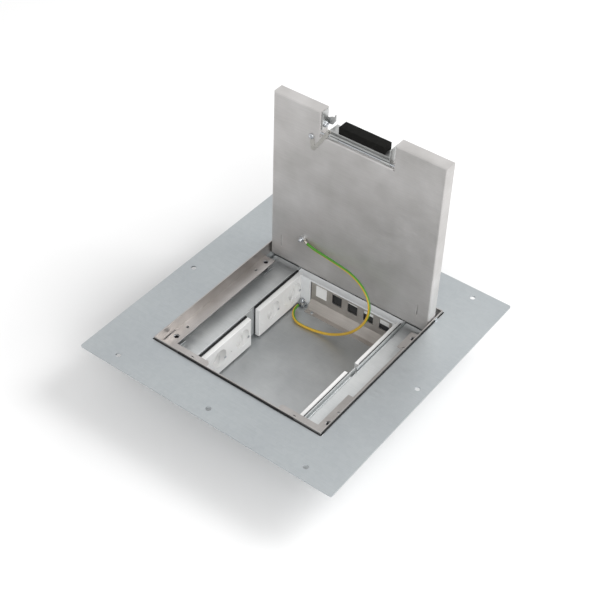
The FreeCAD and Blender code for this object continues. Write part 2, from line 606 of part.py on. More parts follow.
def make_lid_bolt():
    tab_low = f"({RIM_TOP} - tab_from_top - tab_sheet)"
    tab_high = f"({RIM_TOP} - tab_from_top)"
    strip = block("bolt_strip", (BOLT_LEFT, BOLT_RIGHT), (BOLT_TIP, f"{BOLT_TIP} + bolt_long"),
                  (BOLT_LOW, BOLT_HIGH))
    hooked = [("0", "tab_root"), ("0", "tab_waist"), ("tab_shoulder", "(tab_dip + tab_sheet)"),
              ("(tab_reach - tab_hook)", "tab_dip"), ("(tab_reach - tab_hook / 2)", "tab_top"),
              ("tab_reach", "tab_top"), ("tab_reach", "tab_waist"), ("tab_foot", "(tab_root - tab_sheet)")]
    tab = new_body("bolt_tab")
    pad(tab, "sheet", "z", tab_low, tab_high, [[(f"{BOLT_LEFT} + {across}", f"{BOLT_TIP} + {along}")
                                                for across, along in hooked]])
    slot_dia = "(guide_core + 2 * thread_clear)"
    reach = (f"{BOLT_LEFT} - {OVER}", f"{BOLT_RIGHT} + {OVER}")
    slot_start = rod("bolt_slot_start", "x", (GUIDE_Y, GUIDE_Z), *reach, slot_dia)
    slot_end = rod("bolt_slot_end", "x", (f"{GUIDE_Y} + bolt_travel", GUIDE_Z), *reach, slot_dia)
    slot_middle = block("bolt_slot_middle", reach, (GUIDE_Y, f"{GUIDE_Y} + bolt_travel"),
                        (f"{GUIDE_Z} - {slot_dia} / 2", f"{GUIDE_Z} + {slot_dia} / 2"))
    swing_open(cut("lid_bolt", fuse("bolt_blank", strip, tab), slot_start, slot_end, slot_middle))

    head_start = f"({BOLT_RIGHT} + thread_clear)"
    core = rod("guide_core_rod", "x", (GUIDE_Y, GUIDE_Z), f"-({NOTCH_X} + lid_sheet)", head_start,
               "guide_core")
    head = rod("guide_head_disc", "x", (GUIDE_Y, GUIDE_Z), head_start, f"{head_start} + guide_head_high",
               "guide_head")
    swing_open(fuse("guide_screw", core, head))


def make_bolt_spring():
    """Leaf spring under the lid: a V of flat strip whose turned-up end holds the flap's shelf."""
    half = "spring_wide / 2"
    tip_x = "(-spring_tip_x - spring_sheet)"
    tip_y = f"(spring_tip_back - {LID_Y})"
    half_arm = "spring_arm / 2"
    low_x = "(spring_lean - spring_screw_x)"
    low_y = f"({SPRING_SCREW_Y} + spring_fall)"
    body = new_body("bolt_spring")
    strip = [(f"-spring_screw_x - {half}", f"{SPRING_SCREW_Y} - {half}"),
             (f"-spring_screw_x + {half}", f"{SPRING_SCREW_Y} - {half}"),
             (f"{low_x} + {half}", f"{low_y} - spring_elbow"),
             (tip_x, f"{tip_y} - {half_arm}"),
             (f"{tip_x} + spring_sheet", f"{tip_y} - {half_arm}"),
             (f"{tip_x} + spring_sheet", f"{tip_y} + {half_arm}"),
             (f"{low_x} + {half}", low_y), (f"{low_x} - {half}", low_y)]
    pad(body, "strip", "z", SPRING_UNDER, LID_UNDER, [strip],
        [("-spring_screw_x", SPRING_SCREW_Y, "spring_screw_core + 2 * thread_clear")])
    pad(body, "end", "z", SPRING_UNDER, f"{LID_UNDER} + spring_rise",
        [rectangle(tip_x, f"{tip_x} + spring_sheet", f"{tip_y} - {half}", f"{tip_y} + {half}")])
    swing_open(body)

    centre = ("-spring_screw_x", SPRING_SCREW_Y)
    core = rod("spring_screw_rod", "z", centre, SPRING_UNDER, LID_FLOOR, "spring_screw_core")
    head = rod("spring_screw_disc", "z", centre, f"{SPRING_UNDER} - spring_screw_head_high", SPRING_UNDER,
               "spring_screw_head")
    swing_open(fuse("spring_screw", core, head))


# Socket modules, drawn with the face in the plane x = 0 and the body behind it

def socket_middles():
    return [f"(socket_shift + {side} * socket_pitch / 2)" for side in (-1, 1)]


def screw_places():
    return [("socket_shift", "-screw_below"), ("-end_screw_back", "-screw_below")]


def make_cover_master():
    body = new_body("cover_master")
    half_long, half_high = "cover_long / 2", f"{COVER_HIGH} / 2"
    front = pad(body, "block", "x", "-cover_deep", "0", [centred(half_long, half_high)])

    def face_edge(edge):
        return edge.BoundBox.XMin > -CLOSE
    round_edges(body, "edges", front, face_edge, "cover_edge")
    pocket(body, "hollow", "x", "-cover_deep", "-cover_wall",
           [centred(f"{half_long} - cover_wall", f"{half_high} - cover_wall")])
    cups = [(y, "socket_lift", "recess_dia + 2 * cup_wall") for y in socket_middles()]
    pad(body, "cups", "x", f"-{CUP_BACK}", "-cover_wall", (), cups)
    recesses = [(y, "socket_lift", "recess_dia") for y in socket_middles()]
    pocket(body, "recesses", "x", "-recess_deep", "0", (), recesses)
    pins = [(f"{y} + {side} * pin_pitch / 2", "socket_lift", "pin_hole")
            for y in socket_middles() for side in (-1, 1)]
    pocket(body, "pin_holes", "x", f"-{CUP_BACK}", "-recess_deep", (), pins)
    screws = [(y, z, "cover_screw_core + 2 * thread_clear") for y, z in screw_places()]
    pocket(body, "screw_holes", "x", "-cover_wall", "0", (), screws)
    return body


def make_gasket_master():
    body = new_body("gasket_master")
    half_long, half_high = "(cover_long / 2 - gasket_inset)", f"({COVER_HIGH} / 2 - gasket_inset)"
    outside = rectangle(f"-{half_long}", half_long, f"-{half_high}", f"{half_high} + gasket_rise")
    inside = centred(f"{half_long} - gasket_band", f"{half_high} - gasket_band")
    pad(body, "ring", "x", f"-{WEB_AT}", "-cover_deep", [outside, inside])
    return body


def make_carrier_master(name, face):
    """Folded carrier: a web behind the gasket and two lips back to the housing wall."""
    half_long, half_high = "cover_long / 2", f"({COVER_HIGH} / 2 - carrier_inset)"
    back = f"({face} - housing_inner)"
    web_back = f"(-{WEB_AT} - carrier_sheet)"
    body = new_body(name)
    holes = [(y, "socket_lift", "recess_dia + 2 * cup_wall + 2 * cup_clear") for y in socket_middles()]
    holes += [(y, z, "cover_screw_core + 2 * thread_clear") for y, z in screw_places()]
    web_end = f"({half_long} + web_past)"
    pad(body, "web", "x", web_back, f"-{WEB_AT}",
        [rectangle(f"-{web_end}", web_end, f"-{half_high}", f"{half_high} + web_rise")], holes)
    lip_top = f"({half_high} - lip_drop)"
    pad(body, "top_lip", "x", back, web_back,
        [rectangle(f"-{half_long}", half_long, f"{lip_top} - carrier_sheet", lip_top)])
    pad(body, "bottom_lip", "x", back, web_back,
        [rectangle(f"-{half_long}", half_long, f"-{half_high}", f"carrier_sheet - {half_high}")])
    return body


def make_contact_master():
    half = "contact_wide / 2"
    return group("contact_master", [
        block(f"contact_{i}", (f"-{CUP_BACK} - contact_deep", f"-{CUP_BACK}"),
              (f"{y} - {half}", f"{y} + {half}"), (f"socket_lift - {half}", f"socket_lift + {half}"))
        for i, y in enumerate(socket_middles())])


def make_clip_master():
    """Earthing clips: one at the top and one at the bottom of each recess."""
    clips = []
    for i, y in enumerate(socket_middles()):
        for place, side in (("low", -1), ("high", 1)):
            far = f"socket_lift + {side} * recess_dia / 2"
            near = f"{far} - {side} * clip_thick"
            span = (far, near) if side < 0 else (near, far)
            strip = block(f"clip_{i}_{place}_strip", ("-recess_deep", "clip_deep - recess_deep"),
                          (f"{y} - clip_wide / 2", f"{y} + clip_wide / 2"), span)
            room = rod(f"clip_{i}_{place}_room", "x", (y, "socket_lift"), "-recess_deep", "0", "recess_dia")
            clip = DOC.addObject("Part::Common", f"clip_{i}_{place}")
            clip.Base = strip
            clip.Tool = room
            clips.append(clip)
    return group("clip_master", clips)


def make_screw_master():
    screws = []
    for i, (y, z) in enumerate(screw_places()):
        core = rod(f"cover_screw_{i}_core", "x", (y, z), f"-{WEB_AT} - carrier_sheet", "0",
                   "cover_screw_core")
        head = rod(f"cover_screw_{i}_head", "x", (y, z), "0", "cover_screw_head_high", "cover_screw_head")
        screws.append(fuse(f"cover_screw_{i}", core, head))
    return group("screw_master", screws)


def make_modules():
    masters = {"socket_cover": make_cover_master(), "socket_gasket": make_gasket_master(),
               "socket_contacts": make_contact_master()}
    shared = {"earth_clips": make_clip_master(), "cover_screws": make_screw_master()}
    copies = {name: [] for name in shared}
    rows = {"front": ("face_front", "front_centre"), "rear": ("(face_front + rear_step)", "rear_centre")}
    for row, (face, centre) in rows.items():
        carrier = make_carrier_master(f"carrier_master_{row}", face)
        for hand, side, turn in (("left", "-1", 0), ("right", "1", 180)):
            place = (f"{side} * {face}", centre, MODULE_Z)
            turned = Placement(Vector(), Rotation(Vector(0, 0, 1), turn))

            def copy(name, source):
                piece = group(name, [source])
                piece.Placement = turned
                return at_place(piece, place)
            for name, master in {**masters, "socket_carrier": carrier}.items():
                node(copy(f"{name}_{row}_{hand}", master))
            for name, master in shared.items():
                copies[name].append(copy(f"{name}_{row}_{hand}", master))
    for name, pieces in copies.items():
        node(group(name, pieces))


# Side housings, rear frame and data panel

def make_housings():
    across = ("-housing_outer", "-housing_inner")
    along = ("housing_front", "housing_rear")
    bend_x, bend_z = "(-housing_inner - housing_bend)", f"({HOUSING_TOP} - housing_bend)"
    outside = fuse("housing_outside",
                   block("housing_flat", (across[0], bend_x), along, ("tub_sheet", HOUSING_TOP)),
                   block("housing_side", across, along, ("tub_sheet", bend_z)),
                   rod("housing_bend_round", "y", (bend_x, bend_z), *along, "2 * housing_bend"))
    shell = cut("housing_shell", outside,
                block("housing_space", ("-housing_outer + housing_sheet", "-housing_inner - housing_sheet"),
                      ("housing_front + housing_sheet", "housing_rear - housing_sheet"),
                      (f"tub_sheet - {OVER}", f"{HOUSING_TOP} - housing_sheet")))
    foot_high = ("tub_sheet", "tub_sheet + housing_sheet")
    feet = [block(f"housing_foot_{end}", across, along_foot, foot_high) for end, along_foot in (
        ("front", ("housing_front - housing_foot", "housing_front")),
        ("rear", ("housing_rear", "housing_rear + housing_foot")))]
    half_window = "(socket_pitch / 2 + socket_shift + contact_wide / 2 + window_clear)"
    middle = f"({MODULE_Z} + socket_lift)"
    half_high = "(contact_wide / 2 + window_clear)"
    windows = [block(f"housing_window_{i}",
                     (f"-housing_inner - housing_sheet - {OVER}", f"-housing_inner + {OVER}"),
                     (f"{centre} - {half_window}", f"{centre} + {half_window}"),
                     (f"{middle} - {half_high}", f"{middle} + {half_high}"))
               for i, centre in enumerate(("front_centre", "rear_centre"))]
    places = [(x, y) for x in ("-housing_outer + foot_screw_inset", "-housing_inner - foot_screw_inset")
              for y in ("housing_front - housing_foot / 2", "housing_rear + housing_foot / 2")]
    holes = [rod(f"housing_foot_hole_{i}", "z", place, f"tub_sheet - {OVER}",
                 f"tub_sheet + housing_sheet + {OVER}", "foot_screw_core + 2 * thread_clear")
             for i, place in enumerate(places)]
    left = node(cut("side_housing_left", fuse("housing_blank", shell, *feet), *windows, *holes))
    node(mirrored("side_housing_right", left))
    screws = []
    for i, place in enumerate(places):
        core = rod(f"foot_screw_{i}_core", "z", place, "tub_sheet", "tub_sheet + housing_sheet",
                   "foot_screw_core")
        head = rod(f"foot_screw_{i}_head", "z", place, "tub_sheet + housing_sheet",
                   "tub_sheet + housing_sheet + foot_screw_head_high", "foot_screw_head")
        screws.append(fuse(f"foot_screw_{i}", core, head))
    left_screws = group("foot_screws_left", screws)
    node(group("housing_screws", [left_screws, mirrored("foot_screws_right", left_screws)]))


REAR_X = "(face_front + rear_step - rear_clear)"
PANEL_LEFT = f"(post_wide - {REAR_X})"
PANEL_RIGHT = f"({REAR_X} - post_slim)"
PANEL_FACE = "(rear_face + panel_back)"
FLANGE_TOP = f"({PLATE_TOP} - module_top)"
FLANGE_UNDER = f"({FLANGE_TOP} - rear_sheet)"
PORT_Z = f"({FLANGE_TOP} - port_drop)"


def port_middles():
    middle = f"(({PANEL_LEFT} + {PANEL_RIGHT}) / 2 + port_shift)"
    return [f"({middle} + {step} * port_pitch)" for step in (-2, -1, 0, 1, 2)]


def make_rear_frame():
    body = new_body("rear_frame")
    arch = [(f"-{REAR_X}", "tub_sheet"), (PANEL_LEFT, "tub_sheet"),
            (PANEL_LEFT, f"{FLANGE_TOP} - panel_border"), (PANEL_RIGHT, f"{FLANGE_TOP} - panel_border"),
            (PANEL_RIGHT, "tub_sheet"), (REAR_X, "tub_sheet"), (REAR_X, FLANGE_TOP),
            (f"-{REAR_X}", FLANGE_TOP)]
    pad(body, "face", "y", "rear_face", "rear_face + rear_sheet", [arch])
    step = "(rear_centre + cover_long / 2 + rear_clear)"
    end = "(rear_face + rear_flange)"
    flange = [(f"-{REAR_X}", "rear_face"), (REAR_X, "rear_face"), (REAR_X, step), ("flange_reach", step),
              ("flange_reach", end), ("-flange_reach", end), ("-flange_reach", step), (f"-{REAR_X}", step)]
    pad(body, "flange", "z", FLANGE_UNDER, FLANGE_TOP, [flange])
    node(body)


def make_data_panel():
    back = f"({PANEL_FACE} + panel_sheet)"
    fold = f"({FLANGE_TOP} - panel_fold)"
    toe_top = "(tub_sheet + panel_sheet)"
    heel = f"({PANEL_FACE} - panel_foot)"
    toe = f"({heel} - panel_toe)"
    profile = [(PANEL_FACE, FLANGE_UNDER), (PANEL_FACE, fold), (heel, toe_top), (toe, toe_top),
               (toe, "tub_sheet"), (f"{heel} + panel_sheet / 2", "tub_sheet"),
               (back, f"{fold} - panel_sheet / 2"), (back, FLANGE_UNDER)]
    body = new_body("data_panel")
    pad(body, "profile", "x", f"{PANEL_LEFT} + rear_clear", f"{PANEL_RIGHT} - rear_clear", [profile])
    ports = [rectangle(f"{x} - port_wide / 2", f"{x} + port_wide / 2", f"{PORT_Z} - port_high / 2",
                       f"{PORT_Z} + port_high / 2") for x in port_middles()]
    pocket(body, "ports", "y", PANEL_FACE, back, ports)
    places = [(x, f"{toe} + panel_toe / 2")
              for x in (f"{PANEL_LEFT} + panel_screw_inset", f"{PANEL_RIGHT} - panel_screw_inset")]
    pocket(body, "screw_holes", "z", "tub_sheet", toe_top, (),
           [(x, y, "panel_screw_core + 2 * thread_clear") for x, y in places])
    node(body)

    screws = []
    for i, place in enumerate(places):
        core = rod(f"panel_screw_{i}_core", "z", place, "tub_sheet", toe_top, "panel_screw_core")
        head = rod(f"panel_screw_{i}_head", "z", place, toe_top, f"{toe_top} + panel_screw_head_high",
                   "panel_screw_head")
        screws.append(fuse(f"panel_screw_{i}", core, head))
    node(group("panel_screws", screws))

    first = port_middles()[0]
    half_wide, half_high = "port_wide / 2", "port_high / 2"
    lip = block("blank_lip_plate",
                (f"{first} - {half_wide} - blank_lip", f"{first} + {half_wide} + blank_lip"),
                (f"{PANEL_FACE} - blank_proud", PANEL_FACE),
                (f"{PORT_Z} - {half_high} - blank_lip", f"{PORT_Z} + {half_high} + blank_lip"))
    plug = block("blank_plug", (f"{first} - {half_wide} + blank_fit", f"{first} + {half_wide} - blank_fit"),
                 (PANEL_FACE, back),
                 (f"{PORT_Z} - {half_high} + blank_fit", f"{PORT_Z} + {half_high} - blank_fit"))
    node(fuse("data_blank", lip, plug))


# Earth points and wire

def make_lug(name):
    """Ring lug drawn round the origin: palm on the plane z = 0, barrel along +X."""
    palm = fuse(f"{name}_palm", rod(f"{name}_ring", "z", ("0", "0"), "0", "lug_thick", "lug_width"),
                block(f"{name}_strap", ("0", "lug_reach"), ("-lug_width / 2", "lug_width / 2"),
                      ("0", "lug_thick")))
    barrel = rod(f"{name}_barrel", "x", ("0", "barrel_dia / 2"), "lug_reach", "lug_reach + barrel_long",
                 "barrel_dia")
    hole = rod(f"{name}_hole", "z", ("0", "0"), -OVER, f"lug_thick + {OVER}", "stud_dia + 2 * thread_clear")
    return cut(name, fuse(f"{name}_blank", palm, barrel), hole)


def make_lid_earth():
    centre = ("lid_stud_x", LID_STUD_Y)
    stud = rod("lid_stud_bar", "z", centre, f"{LID_UNDER} - stud_long", LID_UNDER, "stud_dia")
    swing_open(group("lid_stud", [stud]))
    washer_low = f"({LID_UNDER} - washer_thick)"
    disc = rod("lid_washer_disc", "z", centre, washer_low, LID_UNDER, "washer_dia")
    hole = rod("lid_washer_hole", "z", centre, f"{washer_low} - {OVER}", f"{LID_UNDER} + {OVER}",
               "stud_dia + 2 * thread_clear")
    swing_open(cut("lid_washer", disc, hole))
    nut_high = f"({washer_low} - lug_thick)"
    swing_open(ring_nut("lid_earth_nut", "z", centre, f"{nut_high} - stud_nut_high", nut_high,
                        "stud_nut_across", "stud_dia + 2 * thread_clear"))
    lug = make_lug("earth_lug_lid")
    drop = math.radians(LID_LUG_DROP)
    along = Vector(math.cos(drop), 0, -math.sin(drop))
    away = Vector(0, -1, 0)
    lug.Placement = Placement(Vector(), Rotation(along, away.cross(along), away, "XZY"))
    at_place(lug, ("lid_stud_x", f"{HINGE_Y} - {HINGE_Z} + {washer_low}",
                   f"{HINGE_Z} + {HINGE_Y} - {LID_STUD_Y}"))
    node(lug)


def make_floor_earth():
    centre = ("floor_stud_x", FLOOR_STUD_Y)
    seat = "(tub_sheet + earth_seat)"
    half_wide, half_long = "earth_seat_wide / 2", "earth_seat_long / 2"
    along = (f"{FLOOR_STUD_Y} - {half_long}", f"{FLOOR_STUD_Y} + {half_long}")
    hat = block("seat_block", (f"floor_stud_x - {half_wide}", f"floor_stud_x + {half_wide}"), along,
                ("tub_sheet", seat))
    room = block("seat_room", (f"floor_stud_x - {half_wide} + earth_seat_sheet",
                               f"floor_stud_x + {half_wide} - earth_seat_sheet"),
                 (f"{along[0]} - {OVER}", f"{along[1]} + {OVER}"),
                 (f"tub_sheet - {OVER}", f"{seat} - earth_seat_sheet"))
    hole = rod("seat_hole", "z", centre, "0", f"{seat} + {OVER}", "stud_dia + 2 * thread_clear")
    node(cut("earth_bracket", hat, room, hole))
    node(rod("floor_stud", "z", centre, "tub_sheet", "tub_sheet + floor_stud_long", "stud_dia"))
    nut_low = f"({seat} + lug_thick)"
    node(ring_nut("floor_earth_nut", "z", centre, nut_low, f"{nut_low} + stud_nut_high", "stud_nut_across",
                  "stud_dia + 2 * thread_clear"))
    lug = make_lug("earth_lug_floor")
    lug.Placement = Placement(Vector(), Rotation(Vector(0, 0, 1), -90))
    node(at_place(lug, (*centre, seat)))


def rounded_path(points):
    """Straight runs joined by tangent arcs, each arc as large as its two runs allow."""
    corners = [Vector(*point) for point in points]
    edges = []
    radii = []
    start = corners[0]
    for before, corner, after in zip(corners, corners[1:], corners[2:]):
        back = (before - corner).normalize()
        ahead = (after - corner).normalize()
        half_turn = (math.pi - back.getAngle(ahead)) / 2
        trim = ARC_SHARE * min(before.distanceToPoint(corner), after.distanceToPoint(corner))
        radius = trim / math.tan(half_turn)
        bisector = (back + ahead).normalize()
        middle = corner + bisector * (radius / math.cos(half_turn) - radius)
        arc_start = corner + back * trim
        arc_end = corner + ahead * trim
        edges.append(Part.LineSegment(start, arc_start).toShape())
        edges.append(Part.Arc(arc_start, middle, arc_end).toShape())
        radii.append(radius)
        start = arc_end
    edges.append(Part.LineSegment(start, corners[-1]).toShape())
    return Part.Wire(edges), radii


def make_earth_wire():
    path, radii = rounded_path(WIRE_ROUTE)
    radius = SIZES["wire_dia"] / 2
    first = Vector(*WIRE_ROUTE[0])
    section = Part.Wire(Part.makeCircle(radius, first, Vector(*WIRE_ROUTE[1]) - first))
    tube = path.makePipeShell([section], True, False)
    wire = DOC.addObject("Part::Feature", "earth_wire")
    wire.Shape = tube
    wire.Placement = Placement()
    expected = math.pi * radius ** 2 * path.Length
    print("wire radii", [round(value, 1) for value in radii])
    print("wire length", round(path.Length, 1), "volume share", round(tube.Volume / expected, 4))
    node(wire)


def check_and_write():
    """Stop on a failed object, an empty cut or a bad shape, then write each sub-part."""
    DOC.recompute()
    for item in DOC.Objects:
        if "Invalid" in item.State or "Error" in item.State:
            raise RuntimeError(f"{item.Name} failed: {item.State}")
    for name, removed in CUTS:
        if removed < CLOSE:
            raise RuntimeError(f"{name} takes nothing away")
    for piece in NODES:
        if piece.Shape.isNull() or not piece.Shape.isValid():
            raise RuntimeError(f"{piece.Name} has no valid shape")
    os.makedirs("parts", exist_ok=True)
    for piece in NODES:
        piece.Shape.exportStep(f"parts/{piece.Label}.step")
        print(piece.Label, len(piece.Shape.Solids), round(piece.Shape.Volume))


make_sheet()
make_mounting_plate()
make_tub()
make_cassette_frame()
make_rim_seals()
make_levelling()
make_lid_tray()
make_lid_stiffener()
make_hinge()
make_flap()
make_lid_bolt()
make_bolt_spring()
make_modules()
make_housings()
make_rear_frame()
make_data_panel()
make_lid_earth()
make_floor_earth()
make_earth_wire()
check_and_write()
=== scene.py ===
"""Floor socket box: finishes, details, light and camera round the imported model.

The lid stands open. Every length is in metres unless a name or comment says millimetres, in the
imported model's own frame: X along the front edge, Y towards the lid hinge, Z up from the tub's underside.
"""

import logging
import math
from dataclasses import dataclass, field
from enum import Enum
from typing import Callable, Iterable, Sequence

import bmesh
import bpy
from mathutils import Matrix, Vector, noise


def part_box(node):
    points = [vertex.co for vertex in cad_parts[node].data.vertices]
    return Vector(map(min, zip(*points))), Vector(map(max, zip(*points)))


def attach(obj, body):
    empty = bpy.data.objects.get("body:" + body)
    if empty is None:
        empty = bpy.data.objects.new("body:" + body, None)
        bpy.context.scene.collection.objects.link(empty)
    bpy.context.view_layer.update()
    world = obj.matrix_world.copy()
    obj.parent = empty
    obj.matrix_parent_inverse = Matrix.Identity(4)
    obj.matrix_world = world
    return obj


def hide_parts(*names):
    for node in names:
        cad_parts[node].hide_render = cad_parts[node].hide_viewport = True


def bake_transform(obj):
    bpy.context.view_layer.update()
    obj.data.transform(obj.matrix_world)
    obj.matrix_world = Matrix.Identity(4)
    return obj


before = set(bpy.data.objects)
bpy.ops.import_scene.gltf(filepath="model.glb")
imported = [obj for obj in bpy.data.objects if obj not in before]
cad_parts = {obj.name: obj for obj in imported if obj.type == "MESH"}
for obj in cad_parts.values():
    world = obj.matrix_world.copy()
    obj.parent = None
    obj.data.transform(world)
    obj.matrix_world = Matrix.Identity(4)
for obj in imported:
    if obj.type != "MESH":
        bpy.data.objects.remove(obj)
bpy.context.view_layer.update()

Tree = bpy.types.NodeTree
Socket = bpy.types.NodeSocket
Pair = tuple[float, float]
Triple = tuple[float, float, float]
Profile = tuple[Pair, ...]

LOG = logging.getLogger("floor_socket_box")
MM = 0.001
UP = Vector((0.0, 0.0, 1.0))
SIDEWAYS = Vector((1.0, 0.0, 0.0))
INWARD = Vector((0.0, 1.0, 0.0))
CORD_MAP = "sheath"
# Two faces that meet at less than this angle in degrees are shaded as one.
SMOOTH_BELOW = 40.0


class Body(Enum):
    """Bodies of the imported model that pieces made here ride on."""

    BOX = "box"
    LID = "lid"
    FLAP = "flap"


class Slot(Enum):
    """Material slots of the record; no piece made here takes its finish from them."""

    FASTENER = "zinc_fasteners"
    RUBBER = "grommet_rubber"
    PAD = "pad_rubber"
    COVER = "white_cover"
    CLIP = "clip_brass"
    LUG = "lug_copper"
    WIRE = "wire_pvc"
    SHEET = "galvanised_sheet"
    CONTACT = "contact_plastic"


# Shader nodes


def linear(code: str) -> tuple[float, float, float, float]:
    """Turn an sRGB hex colour into the linear values that the shaders take.

    Args:
        code: Six hex digits.

    Returns:
        Red, green, blue and an alpha of one.
    """
    parts = [int(code[i:i + 2], 16) / 255 for i in (0, 2, 4)]
    red, green, blue = (c / 12.92 if c <= 0.04045 else ((c + 0.055) / 1.055) ** 2.4 for c in parts)
    return red, green, blue, 1.0


def add_node(tree: Tree, kind: str, inputs: dict | None = None, **settings: object) -> bpy.types.Node:
    """Add a shader node with its settings and links.

    Args:
        tree: Node tree that takes the node.
        kind: Blender's name of the node type.
        inputs: Socket name or number to a plain value or to the output socket linked into it.
        settings: Attributes of the node itself.

    Returns:
        The node.
    """
    node = tree.nodes.new(kind)
    for name, value in settings.items():
        setattr(node, name, value)
    for name, value in (inputs or {}).items():
        if isinstance(value, Socket):
            tree.links.new(value, node.inputs[name])
        else:
            node.inputs[name].default_value = value
    return node


def reckon(tree: Tree, operation: str, *values: object) -> Socket:
    """Result of a sum whose terms are numbers or output sockets."""
    return add_node(tree, "ShaderNodeMath", dict(enumerate(values)), operation=operation).outputs[0]


def scaled(tree: Tree, place: Socket, grain: Sequence[float]) -> Socket:
    """Coordinates in which one unit is a grain of the surface.

    Args:
        tree: The material's node tree.
        place: Coordinates in metres.
        grain: Size of the grain along X, Y and Z in millimetres.

    Returns:
        The scaled coordinates.
    """
    factors = tuple(1 / (size * MM) for size in grain)
    return add_node(tree, "ShaderNodeMapping", {"Vector": place, "Scale": factors}).outputs["Vector"]


def grains(tree: Tree, place: Socket, grain: Sequence[float], detail: float = 3.0) -> Socket:
    """Noise with grains of a real size.

    Args:
        tree: The material's node tree.
        place: Coordinates in metres.
        grain: Size of the grain along X, Y and Z in millimetres.
        detail: Number of finer layers in it.

    Returns:
        The noise, mostly between 0.3 and 0.7.
    """
    spots = {"Vector": scaled(tree, place, grain), "Scale": 1.0, "Detail": detail}
    return add_node(tree, "ShaderNodeTexNoise", spots).outputs["Fac"]


def stretch(tree: Tree, value: Socket, low: float, high: float, from_low: float = 0.3,
            from_high: float = 0.7) -> Socket:
    """Spread a texture's middle range over the range that a socket needs.

    Args:
        tree: The material's node tree.
        value: The texture's value.
        low: Result at the lower end.
        high: Result at the upper end.
        from_low: Lower end of the texture's range.
        from_high: Upper end of the texture's range.

    Returns:
        The spread value.
    """
    return add_node(tree, "ShaderNodeMapRange", {
        "Value": value, "From Min": from_low, "From Max": from_high, "To Min": low,
        "To Max": high}).outputs["Result"]


def blend_colours(tree: Tree, share: Socket, *sides: str | Socket) -> Socket:
    """Mix two colours.

    Args:
        tree: The material's node tree.
        share: Share of the second colour.
        sides: Both colours, each a hex code or an output socket.

    Returns:
        The mixed colour.
    """
    first, second = (linear(side) if isinstance(side, str) else side for side in sides)
    return add_node(tree, "ShaderNodeMix", {0: share, 6: first, 7: second}, data_type="RGBA").outputs[2]


# Finishes


@dataclass(frozen=True)
class Finish:
    """A real material and how its surface was made; the relief is in millimetres."""

    name: str
    colour: str
    metallic: float = 0.0
    roughness: float = 0.5
    smoother: float = 0.08
    rougher: float = 0.08
    relief: float = 0.01

    def tone(self, tree: Tree, place: Socket) -> tuple[Socket, Socket]:
        """Lay the finish's pattern.

        Args:
            tree: The material's node tree.
            place: Object coordinates in metres.

        Returns:
            The base colour, and the fine texture that roughness and relief follow.
        """
        raise NotImplementedError

    def build(self) -> bpy.types.Material:
        """Make the Blender material.

        Returns:
            The material, made once for each finish.
        """
        known = bpy.data.materials.get(self.name)
        if known:
            return known
        material = bpy.data.materials.new(self.name)
        material.use_nodes = True
        tree = material.node_tree
        tree.nodes.clear()
        place = add_node(tree, "ShaderNodeTexCoord").outputs["Object"]
        tone, fine = self.tone(tree, place)
        rough = stretch(tree, fine, self.roughness - self.smoother, self.roughness + self.rougher)
        bump = add_node(tree, "ShaderNodeBump", {"Height": fine, "Distance": self.relief * MM})
        shader = add_node(tree, "ShaderNodeBsdfPrincipled", {
            "Base Color": tone, "Metallic": self.metallic, "Roughness": rough,
            "Normal": bump.outputs["Normal"], **self.constants()})
        add_node(tree, "ShaderNodeOutputMaterial", {"Surface": shader.outputs["BSDF"]})
        return material

    def constants(self) -> dict[str, float]:
        """Values of the shader's other sockets."""
        return {}


@dataclass(frozen=True)
class SheetMetal(Finish):
    """Rolled or brushed sheet: cloudy tone, fine lines one way, and spangle where it is galvanised.

    Clouds, grain and spangle are in millimetres.
    """

    cloud_colour: str = "A0A0A0"
    metallic: float = 1.0
    roughness: float = 0.42
    relief: float = 0.006
    cloud: float = 90.0
    grain: Triple = (0.8, 60.0, 60.0)
    grain_share: float = 0.15
    spangle: float = 0.0
    spangle_share: float = 0.035

    def tone(self, tree: Tree, place: Socket) -> tuple[Socket, Socket]:
        """Lay clouds, grain and spangle over the metal, as Finish.tone says."""
        clouds = grains(tree, place, (self.cloud,) * 3)
        lines = grains(tree, place, self.grain, 2.0)
        tone = blend_colours(tree, stretch(tree, clouds, 0.0, 1.0), self.colour, self.cloud_colour)
        tone = blend_colours(tree, stretch(tree, lines, 0.0, self.grain_share), tone, "000000")
        if self.spangle:
            flakes = add_node(tree, "ShaderNodeTexVoronoi", {
                "Vector": scaled(tree, place, (self.spangle,) * 3), "Scale": 1.0})
            grey = add_node(tree, "ShaderNodeSeparateColor", {"Color": flakes.outputs["Color"]})
            share = stretch(tree, grey.outputs[0], 0.0, self.spangle_share, 0.0, 1.0)
            tone = blend_colours(tree, share, tone, "FFFFFF")
        return tone, lines


@dataclass(frozen=True)
class Plated(Finish):
    """Plated small part: uneven tone and tool marks, with a mottle in millimetres."""

    edge_colour: str = "8C9096"
    metallic: float = 1.0
    roughness: float = 0.3
    smoother: float = 0.06
    rougher: float = 0.1
    mottle: float = 1.6

    def tone(self, tree: Tree, place: Socket) -> tuple[Socket, Socket]:
        """Mottle the plating, as Finish.tone says."""
        spots = grains(tree, place, (self.mottle,) * 3)
        return blend_colours(tree, stretch(tree, spots, 0.0, 1.0), self.colour, self.edge_colour), spots


